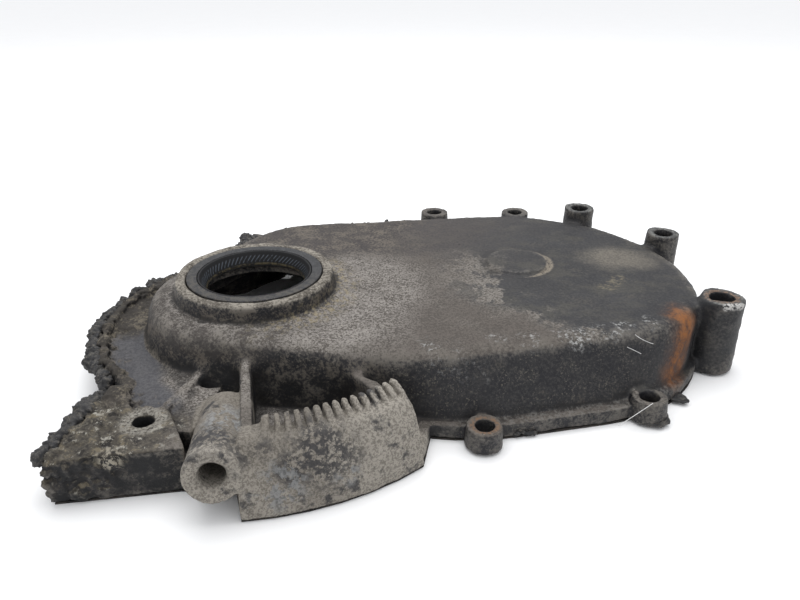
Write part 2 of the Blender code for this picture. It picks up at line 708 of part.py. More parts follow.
def build_seal(parts, seal_steel, rubber, spring_steel):
    """The seal: pressed steel case, moulded lip bonded inside it and a garter spring."""
    top = COLLAR_TOP_Z
    bottom = COLLAR_TOP_Z - SEAL_DEPTH
    inner_wall = SEAL_OUTER_R - SEAL_STEEL_T
    case = turned("seal_case", [(SEAL_OUTER_R - SEAL_EDGE_BREAK, top),
                                (SEAL_OUTER_R, top - SEAL_EDGE_BREAK),
                                (SEAL_OUTER_R, bottom),
                                (inner_wall, bottom),
                                (inner_wall, top - SEAL_STEEL_T),
                                (SEAL_FACE_INNER_R, top - SEAL_STEEL_T),
                                (SEAL_FACE_INNER_R, top)], parts)
    case.data.materials.append(seal_steel)

    rubber_r = inner_wall - FIT_GAP
    rubber_top = top - SEAL_STEEL_T - FIT_GAP
    wrap_r = SEAL_FACE_INNER_R - FIT_GAP
    heel_z = rubber_top - SEAL_RUBBER_T
    rim_z = top - LIP_RIM_DROP
    edge_z = top - SEAL_LIP_DROP
    spring_at = (SEAL_LIP_R + SPRING_BACK, edge_z - SPRING_DROP)
    spring_r, spring_z = spring_at
    groove_r = SPRING_WIRE_R + FIT_GAP
    groove = arc(spring_at, groove_r, 120.0, 240.0, 2)
    lip = turned("seal_lip", [(rubber_r, rubber_top),
                              (rubber_r, heel_z),
                              (spring_r + LIP_HEEL_W, heel_z),
                              *groove,
                              (spring_r, spring_z - groove_r - SPRING_WIRE_R),
                              (SEAL_LIP_R + LIP_TOE_W, edge_z - LIP_TOE_DROP),
                              (SEAL_LIP_R, edge_z),
                              (wrap_r - SEAL_RUBBER_T, rubber_top - LIP_RIM_T),
                              (wrap_r - LIP_RIM_T, rim_z),
                              (wrap_r, rim_z),
                              (wrap_r, rubber_top)], parts)
    lip.data.materials.append(rubber)

    wire = arc(spring_at, SPRING_WIRE_R, 360.0, 0.0, WIRE_STEPS)[1:]
    spring = turned("garter_spring", wire, parts, steps=SPRING_STEPS)
    spring.data.materials.append(spring_steel)


def build_gasket(parts, tools, paper):
    """What is left of the paper gasket, still stuck under the flange."""
    cuts = new_collection("gasket_cuts", tools)
    low = -FIT_GAP - GASKET_T
    gasket = prism("gasket_remains", flange_outline(GASKET_INSET), low, -FIT_GAP, parts)
    inner = [(x, y) for x, y, _ in dome_section(0.0, WALL)]
    prism("gasket_inside", inner, low - SINK, SINK, cuts)
    box("gasket_arch", (-ARCH_R * REACH, -EAR_NOTCH_Y, low - REACH * SINK),
        (0.0, EAR_NOTCH_Y, REACH * SINK), cuts)
    places = [boss_place(name) for name in BOSSES]
    places += [(EAR_HOLE_X, -EAR_HOLE_Y), (EAR_HOLE_X, EAR_HOLE_Y)]
    for index, (x, y) in enumerate(places):
        hole = cylinder(f"gasket_hole_{index + 1}", GASKET_HOLE_R, GASKET_HOLE_R, 2 * SINK, cuts,
                        HOLE_STEPS)
        hole.location = (x, y, low - SINK / 2)
    combine(gasket, cuts, "DIFFERENCE")
    gasket.data.materials.append(paper)


def bead(name, route, z, material, parts):
    """A lumpy bead of old sealant along a route."""
    curve = bpy.data.curves.new(name, "CURVE")
    curve.dimensions = "3D"
    curve.bevel_depth = BEAD_R
    curve.bevel_resolution = BEAD_STEPS
    curve.use_fill_caps = True
    spline = curve.splines.new("POLY")
    spline.points.add(len(route) - 1)
    for index, (point, (x, y)) in enumerate(zip(spline.points, route)):
        point.co = (x, y, z, 1.0)
        wave = math.sin(index * BEAD_WAVES[0]) * math.cos(index * BEAD_WAVES[1])
        point.radius = 1.0 - BEAD_LUMP + BEAD_LUMP * wave
    obj = bpy.data.objects.new(name, curve)
    bpy.context.scene.collection.objects.link(obj)
    bpy.context.view_layer.update()
    made = mesh_from_curve(obj, parts)
    made.data.materials.clear()
    made.data.materials.append(material)
    return made


def straight(start, end):
    length = math.hypot(end[0] - start[0], end[1] - start[1])
    steps = max(2, round(length / BEAD_STEP))
    return [(start[0] + (end[0] - start[0]) * i / steps,
             start[1] + (end[1] - start[1]) * i / steps) for i in range(steps + 1)]


def build_sealant(parts, sealant):
    stand_off = FIT_GAP + BEAD_R
    face_x = EAR_FACE_X - stand_off
    arch_deg = math.degrees(math.acos((face_x - BEAD_R * 2) / (ARCH_R + stand_off)))
    steps = round(math.radians(360.0 - 2 * arch_deg) * ARCH_R / BEAD_STEP)
    bead("sealant_arch", arc((0.0, 0.0), ARCH_R + stand_off, arch_deg, 360.0 - arch_deg, steps),
         ARCH_RIM_Z - 2 * BEAD_R, sealant, parts)
    root_y = EAR_NOTCH_Y + 3 * BEAD_R
    for side, tip_y, name in ((-1, EAR_NEAR_TIP_Y, "sealant_near_ear"),
                              (1, EAR_FAR_TIP_Y, "sealant_far_ear")):
        route = straight((face_x, side * (tip_y - 2 * BEAD_R)), (face_x, side * root_y))
        bead(name, route, EAR_Z - BEAD_R, sealant, parts)


def seat_part(parts, tools):
    """Carry every piece and its cutters, so that the part's box stands on the origin."""
    carrier = bpy.data.objects.new("timing_cover_origin", None)
    bpy.context.scene.collection.objects.link(carrier)
    far_x, _ = boss_place("tall")
    _, far_y = boss_place("far_top")
    low_x = -ARCH_R - FIT_GAP - 2 * BEAD_R
    high_x = far_x + BOSSES["tall"][2] + BOSS_DRAFT
    low_y = TUBE_MOUTH_Y - TUBE_R * math.cos(math.radians(TUBE_HEADING_DEG))
    high_y = far_y + BOSSES["far_top"][2] + BOSS_DRAFT
    for obj in tools.all_objects:
        obj.hide_render = True
        obj.display_type = "WIRE"
    for obj in (*parts.objects, *tools.all_objects):
        obj.parent = carrier
    carrier.location = (-(low_x + high_x) / 2, -(low_y + high_y) / 2, GASKET_T + FIT_GAP)


def main():
    clear_scene()
    parts = new_collection("timing_cover")
    tools = new_collection("cutters")
    aluminium = principled("cast_aluminium", (0.30, 0.28, 0.26), 0.6, 0.6)
    seal_steel = principled("seal_steel", (0.09, 0.09, 0.10), 0.5, 0.4)
    rubber = principled("seal_rubber", (0.02, 0.02, 0.025), 0.5, 0.0)
    spring_steel = principled("spring_steel", (0.25, 0.20, 0.13), 0.4, 0.9)
    paper = principled("gasket_paper", (0.05, 0.045, 0.04), 0.9, 0.0)
    sealant = principled("old_sealant", (0.03, 0.03, 0.03), 0.6, 0.0)
    casting = build_casting(parts, tools)
    casting.data.materials.append(aluminium)
    build_seal(parts, seal_steel, rubber, spring_steel)
    build_gasket(parts, tools, paper)
    build_sealant(parts, sealant)
    seat_part(parts, tools)
    bpy.context.view_layer.update()


main()
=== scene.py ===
"""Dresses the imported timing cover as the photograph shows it.

The casting gets a soft, sand-cast skin over the CAD solid, and every finish is a layered
procedural material. Places are given in millimetres from the crank axis on the mounting
face, +X up the engine, as in the part's source.
"""

import math

import bpy
import numpy as np
from mathutils import Matrix, Vector

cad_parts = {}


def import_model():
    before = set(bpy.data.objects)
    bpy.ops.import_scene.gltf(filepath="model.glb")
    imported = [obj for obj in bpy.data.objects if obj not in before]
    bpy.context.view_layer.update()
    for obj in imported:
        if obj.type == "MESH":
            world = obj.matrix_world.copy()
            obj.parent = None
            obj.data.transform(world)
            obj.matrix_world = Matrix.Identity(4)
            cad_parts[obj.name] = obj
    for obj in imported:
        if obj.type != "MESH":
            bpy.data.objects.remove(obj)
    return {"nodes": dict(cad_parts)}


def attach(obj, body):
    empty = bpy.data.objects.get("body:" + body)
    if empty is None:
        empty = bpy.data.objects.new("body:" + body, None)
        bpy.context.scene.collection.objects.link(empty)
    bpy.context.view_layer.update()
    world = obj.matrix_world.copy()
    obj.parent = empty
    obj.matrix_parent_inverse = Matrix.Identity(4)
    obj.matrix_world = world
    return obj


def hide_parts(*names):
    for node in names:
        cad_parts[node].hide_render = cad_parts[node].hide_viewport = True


MM = 0.001
CRANK = Vector((-79.279, -8.437, 1.1)) * MM

# Camera, as fitted to the photograph
EYE = (117.9, -296.8, 186.0)
VIEW_HEADING = (-0.1478, 0.989)
VIEW_DOWN_DEG = 26.8
LENS = 30.6

# Casting skin
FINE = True
SKIN_VOXEL = 0.7 * MM if FINE else 1.4 * MM
SKIN_TRIANGLES = 190000
ROLL_PASSES = 220 if FINE else 60
SOFT_PASSES = 40 if FINE else 12
EAR_HOLE = (-16.4, -93.3)
TALL_HOLE = (229.6, 19.6)

# Where the skin's fillets are softened: from, to and how far round
SOFT_PLACES = (((11.0, -49.0, 27.0), (14.0, -101.0, 12.0), 6.0),
               ((49.0, -44.0, 24.0), (77.0, -70.0, 12.0), 6.0),
               ((-8.0, -50.0, 18.0), (-14.0, -85.0, 12.0), 7.0),
               ((60.0, -50.0, 6.0), (205.0, -20.0, 6.0), 4.0),
               ((85.0, -46.0, 29.0), (205.0, 0.0, 31.0), 7.0),
               ((205.0, 0.0, 31.0), (213.0, 25.0, 31.0), 8.0),
               ((30.0, -48.0, 29.0), (85.0, -46.0, 29.0), 6.0),
               ((-55.0, -20.0, 26.0), (-20.0, -52.0, 26.0), 6.0),
               ((-20.0, -52.0, 26.0), (30.0, -48.0, 29.0), 6.0),
               ((-46.0, -56.0, 17.0), (-16.0, -72.0, 17.0), 8.0),
               ((-16.0, -72.0, 17.0), (0.0, -82.0, 17.0), 6.0),
               ((215.0, 17.0, 5.0), (215.0, 17.0, 34.0), 6.0),
               ((206.0, 88.0, 33.0), (198.0, 82.0, 33.0), 9.0),
               ((165.0, 120.0, 33.0), (160.0, 115.0, 33.0), 9.0))
# Where it is crusted: from, to, how far round, how softly it ends and how much
CRUST_PLACES = (((-32.0, -118.0, 17.0), (-28.0, -88.0, 19.0), 14.0, 8.0, 1.0),
                ((-72.0, -22.0, 19.0), (-50.0, -58.0, 19.0), 7.0, 6.0, 1.0),
                ((-76.0, 10.0, 19.0), (-60.0, 45.0, 19.0), 7.0, 6.0, 1.0),
                ((-66.0, -12.0, 17.0), (-66.0, 22.0, 17.0), 8.0, 6.0, 0.5))
# The dome's near shoulder, which is rolled over most
SHOULDER_LINE = ((-56.0, -8.0, 27.0), (-46.0, -34.0, 27.0), (-20.0, -54.0, 28.0), (30.0, -50.0, 30.0),
                 (85.0, -50.0, 31.0), (150.0, -34.0, 32.0), (195.0, -14.0, 32.0), (214.0, 16.0, 32.0))

# The dry film's edge: a corner, and its slope on either side
DRY_EDGE_X = 122.0
DRY_EDGE_Y = 5.0
DRY_EDGE_SLOPES = (0.27, 1.92)

# Patches on the timing scale and the tube, and the corroded line on the near shoulder
OILY_SPOTS = (((60.0, -103.5, 21.0), 13.0), ((50.0, -110.0, 19.0), 7.0), ((38.0, -106.0, 22.0), 6.0),
              ((19.5, -109.5, 28.0), 9.0), ((27.0, -112.0, 22.0), 7.0), ((13.0, -108.0, 24.0), 5.0))
BARE_SPOTS = (((47.0, -115.5, 12.0), 9.0), ((19.3, -95.0, 30.0), 10.0),
              ((36.0, -112.0, 10.0), 6.0), ((70.0, -104.0, 12.0), 5.0))
BLOOM_LINE = ((122.0, -33.0, 31.0), (150.0, -27.0, 31.5), (172.0, -16.0, 32.5), (190.0, -6.0, 32.0))

# Seal: sections as (radius, height), and the pumping ribs on the lip
SEAL_CASE_CORNERS = ((33.4, 45.0), (33.4, 35.4), (32.2, 35.4), (32.2, 43.8), (28.4, 43.8), (28.4, 45.0))
SEAL_LIP_CORNERS = ((31.9, 43.5), (31.9, 41.5), (28.8, 41.5), (26.5, 39.3), (26.6, 36.9), (25.3, 36.7),
                    (24.0, 38.6), (26.3, 42.9), (27.3, 44.8), (28.1, 44.8), (28.1, 43.5))
SEAL_CASE_STEPS = 256
SEAL_LIP_STEPS = 720
SEAL_RIBS = 72.0
SEAL_RIB_SLANT = 2.4
SEAL_RIB_DEPTH = 0.35
SEAL_RIB_Z = 40.6
SEAL_RIB_BAND = 2.4
SEAL_RIB_OUTER = 27.2

# Old sealant and loose fibres
BEAD_VOXEL = (0.45 if FINE else 0.9) * MM
BEAD_TRIANGLES = 90000
CRUMB_VOXEL = (0.35 if FINE else 0.7) * MM
FAR_EDGE_X = (-20.0, -8.0, 4.0, 16.0, 28.0, 40.0, 52.0, 64.0)
FAR_EDGE_Z = 31.5
FAR_EAR_PLACES = ((-42.0, 86.0), (-39.0, 94.0), (-35.0, 101.0), (-26.0, 103.0), (-14.0, 101.0))
FAR_EAR_LEAST_Z = 15.0
NEAR_FLANGE_LINE = ((123.0, -52.8, 1.2), (134.0, -53.8, 1.2), (141.5, -51.0, 1.2))
LINT_LONG = ((191.2, -37.7, 11.3), (188.0, -40.4, 10.6), (183.2, -42.3, 7.0), (177.0, -43.6, 2.0))
LINT_SHORT = ((182.7, -19.8, 35.0), (184.4, -22.4, 34.6), (187.0, -23.6, 34.0), (190.2, -23.2, 33.0))
LINT_LOW = ((178.6, -26.9, 32.5), (180.2, -27.9, 32.2), (182.4, -28.7, 31.8), (184.4, -29.3, 31.0))
LINT_LIFT = 0.25

# Studio
FLOOR_SIZE = 18.0
SKY_COLOUR = (0.97, 0.98, 1.0, 1.0)
SKY_LOW = 0.42
SKY_HIGH = 1.35
LAMP_PLACE = (20.0, 300.0, 1100.0)
LAMP_TARGET = (60.0, 20.0, 20.0)
LAMP_SIZE = 1.1
LAMP_POWER = 8.0


def at(x, y, z=0.0):
    """A place in millimetres from the crank axis, in the frame's metres."""
    return CRANK + Vector((x, y, z)) * MM


class Field:
    """A value that varies over a material. Arithmetic on it adds Math nodes."""

    def __init__(self, maker, socket):
        self.maker = maker
        self.socket = socket

    def math(self, operation, *values):
        return self.maker.node("Math", 0, values, operation=operation)

    def __add__(self, other):
        return self.math("ADD", self, other)

    __radd__ = __add__

    def __sub__(self, other):
        return self.math("SUBTRACT", self, other)

    def __rsub__(self, other):
        return self.math("SUBTRACT", other, self)

    def __mul__(self, other):
        return self.math("MULTIPLY", self, other)

    __rmul__ = __mul__

    def __truediv__(self, other):
        return self.math("DIVIDE", self, other)

    def __or__(self, other):
        return self.math("MAXIMUM", self, other)

    def __and__(self, other):
        return self.math("MINIMUM", self, other)

    def step(self, low, high):
        """Smoothly 0 below low and 1 above high, or the other way round if low is higher."""
        up = self.maker.node("MapRange", 0, (self, min(low, high), max(low, high), 0.0, 1.0),
                             interpolation_type="SMOOTHSTEP")
        return up if low < high else 1.0 - up


class NodeTree:
    """A shader tree, and the one way that nodes are added to it."""

    def __init__(self, tree):
        self.tree = tree

    def feed(self, socket, value):
        if isinstance(value, Field):
            self.tree.links.new(value.socket, socket)
        else:
            socket.default_value = value

    def node(self, kind, output, values, **settings):
        """Adds a node, sets it up and feeds its sockets, by order or by name."""
        made = self.tree.nodes.new(f"ShaderNode{kind}")
        for key, value in settings.items():
            setattr(made, key, value)
        pairs = values.items() if isinstance(values, dict) else enumerate(values)
        for key, value in pairs:
            self.feed(made.inputs[key], value)
        return Field(self, made.outputs[output])


class Material(NodeTree):
    """A Principled material built from fields."""

    def __init__(self, name, specular=0.5, metallic=0.0):
        self.data = bpy.data.materials.new(name)
        self.data.use_nodes = True
        super().__init__(self.data.node_tree)
        self.shader = self.tree.nodes["Principled BSDF"]
        self.shader.inputs["Specular IOR Level"].default_value = specular
        self.shader.inputs["Metallic"].default_value = metallic
        place = self.node("TexCoord", "Object", ())
        self.mm = self.vector("SUBTRACT", place, tuple(CRANK))
        self.mm = self.vector("SCALE", self.mm, scale=1.0 / MM)
        self.x, self.y, self.z = (self.node("SeparateXYZ", axis, (self.mm,)) for axis in "XYZ")

    def vector(self, operation, first, second=None, scale=None):
        values = {0: first}
        if second is not None:
            values[1] = second
        if scale is not None:
            values["Scale"] = scale
        return self.node("VectorMath", 0, values, operation=operation)

    def length(self, vector):
        return self.node("VectorMath", "Value", (vector,), operation="LENGTH")

    def noise(self, size, detail=3.0, rough=0.55, stretch=None, seed=0.0):
        """Noise from 0 to 1 whose lumps are about size millimetres."""
        where = self.vector("ADD", self.mm, (seed * 13.7, seed * 7.1, seed * 3.3))
        if stretch:
            where = self.vector("MULTIPLY", where, stretch)
        return self.node("TexNoise", 0, {"Vector": where, "Scale": 1.0 / size,
                                         "Detail": detail, "Roughness": rough})

    def attribute(self, name):
        return self.node("Attribute", "Fac", (), attribute_name=name)

    def colour(self, share, first, second):
        """Mixes two colours by a share."""
        first, second = ((*value, 1.0) if isinstance(value, tuple) else value
                         for value in (first, second))
        return self.node("Mix", 2, {0: share, 6: first, 7: second}, data_type="RGBA")

    def spot(self, centre, radius, soft, ragged=0.0, size=8.0, seed=0.0):
        """1 inside an ellipsoid round a place, 0 outside. Radius is a number or three."""
        radii = radius if isinstance(radius, tuple) else (radius,) * 3
        away = self.vector("SUBTRACT", self.mm, centre)
        away = self.vector("MULTIPLY", away, tuple(1.0 / r for r in radii))
        distance = self.length(away) + (self.noise(size, 4.0, seed=seed) - 0.5) * ragged
        return distance.step(1.0 + soft, 1.0 - soft)

    def spots(self, places, soft, ragged, size, seed):
        """Several round spots together, from pairs of centre and radius."""
        found = [self.spot(centre, radius, soft, ragged, size, seed) for centre, radius in places]
        share = found[0]
        for spot in found[1:]:
            share = share | spot
        return share

    def stroke(self, start, end, radius, soft, ragged=0.0, size=8.0, seed=0.0):
        """1 within a radius of the line between two places, 0 outside."""
        start = Vector(start)
        along = Vector(end) - start
        away = self.vector("SUBTRACT", self.mm, tuple(start))
        share = self.node("VectorMath", "Value", (away, tuple(along / along.length_squared)),
                          operation="DOT_PRODUCT")
        share = (share & 1.0) | 0.0
        nearest = self.node("VectorMath", 0, {0: tuple(along), "Scale": share}, operation="SCALE")
        distance = self.length(self.vector("SUBTRACT", away, nearest)) / radius
        distance = distance + (self.noise(size, 4.0, seed=seed) - 0.5) * ragged
        return distance.step(1.0 + soft, 1.0 - soft)

    def finish(self, colour, roughness, bump=None, strength=1.0, metallic=None):
        self.feed(self.shader.inputs["Base Color"], colour)
        self.feed(self.shader.inputs["Roughness"], roughness)
        if metallic is not None:
            self.feed(self.shader.inputs["Metallic"], metallic)
        if bump is not None:
            normal = self.node("Bump", 0, {"Height": bump, "Strength": strength,
                                           "Distance": 1.0 * MM})
            self.feed(self.shader.inputs["Normal"], normal)
        return self.data


class CastSurface(Material):
    """The casting's material. Its finish is painted on layer by layer."""

    def __init__(self):
        super().__init__("cast_aluminium_used", specular=0.35)
        self.ridge = self.attribute("ridge")
        self.recess = self.attribute("recess")
        self.up = self.attribute("up")
        self.broad = self.noise(38.0, 4.0, 0.6, seed=1.0)
        self.middle = self.noise(9.0, 5.0, 0.65, seed=2.0)
        self.fine = self.noise(1.3, 4.0, 0.7, seed=3.0)
        self.grit = self.noise(0.7, 2.0, 0.6, seed=4.0)
        self.from_crank = self.length(self.vector("MULTIPLY", self.mm, (1.0, 1.0, 0.0)))
        self.base = None

    def paint(self, share, colour):
        """Lays a colour over the finish so far, where share is above 0."""
        self.base = self.colour(share, self.base, colour)

    def mixed(self, low, high):
        """Fine and middle noise together, as a step."""
        return (self.fine * 0.5 + self.middle * 0.5).step(low, high)


def paint_oil(s):
    """Oily film: dark, bluish, on the cam end and on the walls, with dust grains in it."""
    s.base = s.colour(s.middle.step(0.35, 0.7), (0.014, 0.014, 0.017), (0.029, 0.028, 0.029))
    s.paint(s.up.step(0.6, 0.95) * s.broad.step(0.4, 0.7) * 0.6, (0.038, 0.037, 0.039))
    brown = s.mixed(0.52, 0.64) * s.noise(24.0, seed=17.0).step(0.45, 0.6)
    s.paint(brown * 0.55, (0.072, 0.063, 0.050))
    olive = s.noise(16.0, 5.0, 0.65, stretch=(0.6, 1.0, 1.0), seed=33.0).step(0.48, 0.62)
    s.paint(olive * s.up.step(0.5, 0.9) * 0.55, (0.062, 0.057, 0.046))
    grains = s.noise(1.0, 3.0, 0.75, seed=24.0).step(0.56, 0.64)
    grains = grains * s.noise(9.0, 4.0, seed=18.0).step(0.38, 0.60)
    s.paint(s.fine.step(0.48, 0.66) * 0.4, (0.070, 0.066, 0.061))
    s.paint(grains * s.up.step(0.9, 0.4) * 0.75, (0.150, 0.136, 0.112))
    s.paint(s.fine.step(0.50, 0.38) * 0.5, (0.011, 0.011, 0.013))
    return grains


def paint_far_film(s):
    """Brown film on the far, upper left of the dome."""
    film = (s.x * 0.8 - s.y * 0.2 + (s.broad - 0.5) * 60.0).step(110.0, 40.0) * s.up.step(0.4, 0.9)
    s.paint(film * (0.30 + 0.5 * s.fine.step(0.35, 0.6)), (0.063, 0.052, 0.047))


def paint_dry_film(s):
    """Dry, speckled film on the top, left of a ragged edge with islands beyond it."""
    slow, steep = DRY_EDGE_SLOPES
    edge_x = (DRY_EDGE_X - slow * (s.y - DRY_EDGE_Y)) | (DRY_EDGE_X + steep * (DRY_EDGE_Y - s.y))
    ragged = (s.noise(18.0, 6.0, 0.7, seed=5.0) - 0.5) * 46.0
    ragged = ragged + (s.noise(4.0, 5.0, 0.75, seed=19.0) - 0.5) * 26.0
    inward = edge_x - s.x + ragged
    torn_edge = s.noise(10.0, 8.0, 0.72, stretch=(1.0, 0.7, 1.0), seed=30.0)
    edge_band = inward.step(34.0, 0.0)
    dry_side = inward.step(-1.0, 1.0) * (1.0 - edge_band * torn_edge.step(0.53, 0.49) * 0.9)
    dry_side = dry_side | (inward.step(-24.0, 0.0) * torn_edge.step(0.55, 0.58) * 0.9)
    dry_far = (s.y + (s.broad - 0.5) * 40.0 - 0.22 * s.x).step(52.0, 22.0)
    dry = dry_side * dry_far * s.up.step(0.55, 0.85)

    near_collar = s.from_crank.step(105.0, 55.0)
    shade = s.colour((s.broad * 0.7 + near_collar * 0.45).step(0.3, 0.75),
                     (0.112, 0.097, 0.086), (0.260, 0.240, 0.220))
    speckle = (s.fine * 0.45 + s.grit * 0.35 + s.middle * 0.2).step(0.44, 0.56)
    shade = s.colour(speckle, (0.072, 0.063, 0.055), shade)
    pits = s.noise(1.0, 3.0, 0.75, seed=25.0).step(0.62, 0.67) * s.noise(6.0, seed=6.0).step(0.42, 0.58)
    shade = s.colour(pits * 0.85, shade, (0.018, 0.016, 0.016))
    dusting = s.noise(1.2, 3.0, 0.75, seed=26.0).step(0.60, 0.66) * s.broad.step(0.42, 0.6)
    shade = s.colour(dusting * 0.6, shade, (0.330, 0.300, 0.250))
    shade = s.colour(edge_band * s.fine.step(0.42, 0.56) * 0.45, shade, (0.290, 0.272, 0.245))
    s.paint(dry, shade)
    return dry, pits, dusting


def paint_left_wall(s, dry):
    """Sandy, oxidised near-left shoulder, over a wall with painted shade towards its foot."""
    left = (s.x + (s.broad - 0.5) * 50.0).step(95.0, 45.0) * (1.0 - dry)
    high = (s.z + (s.middle - 0.5) * 16.0).step(17.0, 29.0)
    s.paint(left * s.mixed(0.46, 0.60) * (0.25 + 0.75 * high) * 0.8, (0.140, 0.120, 0.098))
    # Painted shade: near-black on the wall's steep lower part.
    shade = left * high.step(0.6, 0.1) * s.up.step(0.75, 0.45) * s.middle.step(0.62, 0.45)
    s.paint(shade * 0.9, (0.010, 0.010, 0.011))

    # Painted shade in the ring-shaped hollow between the collar and the shoulder.
    round_collar = s.from_crank.step(42.0, 46.0) * s.from_crank.step(62.0, 52.0)
    hollow_shade = round_collar * (s.x + s.y).step(40.0, -20.0) * s.z.step(24.0, 28.0)
    hollow_shade = hollow_shade * (0.35 + 0.65 * (s.middle * 0.7 + s.fine * 0.3).step(0.58, 0.42))
    s.paint(hollow_shade * 0.75, (0.046, 0.040, 0.036))
    wall = s.x.step(-8.0, 4.0) * s.x.step(80.0, 60.0) * s.y.step(-30.0, -40.0) * s.up.step(0.8, 0.5)
    s.paint(wall * s.mixed(0.48, 0.60) * 0.55, (0.105, 0.094, 0.078))
    return left


def paint_edges(s):
    """Worn crests lighter, painted shade in the recesses."""
    s.paint(s.ridge.step(0.35, 0.95) * s.mixed(0.40, 0.60) * 0.55, (0.170, 0.155, 0.135))
    # Painted shade: near-black where the surface is sunk in.
    recess_shade = s.recess.step(0.10, 0.70) * (0.35 + 0.65 * s.middle.step(0.3, 0.6))
    s.paint(recess_shade * 0.8, (0.013, 0.012, 0.012))


def paint_collar(s):
    """Collar rim, and the yellow dirt at the collar's foot."""
    rim = s.from_crank.step(33.6, 34.2) * s.from_crank.step(41.0, 39.6) * s.z.step(43.2, 44.6)
    s.paint(rim * 0.9, s.colour((s.fine * 0.6 + s.middle * 0.4).step(0.42, 0.6),
                                (0.070, 0.060, 0.048), (0.300, 0.275, 0.235)))
    foot = s.from_crank.step(39.0, 41.0) * s.from_crank.step(56.0, 45.0) * s.z.step(31.0, 34.0)
    yellow = foot * s.x.step(0.0, 35.0) * s.noise(3.0, 4.0, 0.7, seed=7.0).step(0.47, 0.64)
    s.paint(yellow * 0.7, (0.270, 0.225, 0.140))


def paint_scale_and_tube(s):
    """Timing scale and probe tube: lighter, beige, with oily patches and bare metal."""
    scale = s.from_crank.step(100.0, 106.0) * s.y.step(-62.0, -70.0) * s.x.step(15.0, 22.0)
    scale = scale * s.x.step(108.0, 103.0)
    tube = s.stroke((23.0, -123.0, 20.0), (11.0, -76.0, 15.0), 12.5, 0.08)
    light = (scale | tube) * s.up.step(-0.75, -0.35)
    pale = s.x.step(40.0, 90.0) * 0.4 + s.y.step(-108.0, -120.0) * 0.3
    beige = s.colour((s.middle * 0.6 + pale).step(0.25, 0.65),
                     (0.205, 0.185, 0.158), (0.315, 0.290, 0.252))
    beige = s.colour((s.fine * 0.6 + s.grit * 0.4).step(0.54, 0.44) * 0.6, beige,
                     (0.080, 0.070, 0.058))
    patchy = s.noise(2.6, 5.0, 0.7, seed=27.0).step(0.42, 0.52)
    oily = s.noise(9.0, 5.0, 0.62, seed=9.0).step(0.56, 0.66)
    oily = oily | (s.spots(OILY_SPOTS, 0.5, 1.2, 6.0, 20.0) * patchy)
    beige = s.colour(oily * 0.85, beige, (0.034, 0.034, 0.038))
    bare = s.spots(BARE_SPOTS, 0.5, 1.2, 7.0, 21.0)
    bare = bare * s.noise(4.5, 5.0, 0.65, seed=11.0).step(0.49, 0.53)
    metal = s.colour(s.fine.step(0.35, 0.6), (0.190, 0.190, 0.190), (0.330, 0.335, 0.335))
    s.paint(light, s.colour(bare * 0.8, beige, metal))
    return light, bare


def paint_web(s):
    """Web round the crank: smooth blue-grey film, rough and crusted towards the rim."""
    low = s.z.step(24.0, 21.0) * s.x.step(-20.0, -34.0) * s.up.step(0.2, 0.6)
    s.paint(low * (s.middle * 0.4 + s.fine * 0.6).step(0.42, 0.58) * 0.8, (0.150, 0.132, 0.108))
    web = s.stroke((-54.0, -30.0, 17.0), (-36.0, -62.0, 17.0), 11.0, 0.35, 0.4)
    web = web | s.stroke((-36.0, -62.0, 17.0), (-17.0, -78.0, 17.0), 8.0, 0.35, 0.4)
    web = web * s.up.step(0.7, 0.9) * s.z.step(19.5, 18.2)
    s.paint(web * 0.9, s.colour(s.fine.step(0.35, 0.65), (0.054, 0.054, 0.061), (0.084, 0.084, 0.091)))
    rim = s.z.step(17.8, 20.0) * (s.x + s.y * 0.35 + (s.middle - 0.5) * 8.0).step(-52.0, -62.0)
    far_side = (s.y + (s.middle - 0.5) * 20.0).step(-34.0, -22.0) * s.x.step(-50.0, -57.0)
    rim = rim | (far_side * s.z.step(24.0, 21.0) * s.up.step(0.1, 0.5))
    s.paint(rim * 0.9, s.colour(s.mixed(0.50, 0.60), (0.030, 0.026, 0.022), (0.130, 0.112, 0.085)))
    return web


def paint_ear(s):
    """Ear: crusted, tan, yellow and white, over dark."""
    ear = (s.y + (s.middle - 0.5) * 12.0).step(-80.0, -88.0) * s.x.step(5.0, -8.0) * s.up.step(0.15, 0.6)
    crust = s.noise(5.5, 6.0, 0.75, seed=12.0)
    flecks = s.noise(4.0, 5.0, 0.7, seed=28.0).step(0.57, 0.63)
    shade = s.colour(crust.step(0.38, 0.54), (0.020, 0.018, 0.017), (0.078, 0.069, 0.056))
    shade = s.colour(crust.step(0.55, 0.62), shade, (0.165, 0.140, 0.098))
    shade = s.colour(flecks, shade, (0.330, 0.315, 0.275))
    shade = s.colour(s.fine.step(0.56, 0.64) * 0.5, shade, (0.210, 0.190, 0.150))
    s.paint(ear * 0.9, shade)
    ring = s.spot((*EAR_HOLE, 20.0), (9.5, 9.5, 4.0), 0.16, 0.3, 4.0) * s.up.step(0.6, 0.9)
    s.paint(ring * s.fine.step(0.40, 0.55) * 0.8, (0.250, 0.235, 0.205))
    scab = s.spot((-19.5, -114.5, 17.5), (4.5, 4.0, 4.5), 0.5, 1.6, 4.0, 5.0)
    scab = scab * s.noise(2.2, 4.0, 0.7, seed=29.0).step(0.47, 0.53)
    s.paint(scab * 0.85, (0.340, 0.310, 0.250))
    return ear, crust


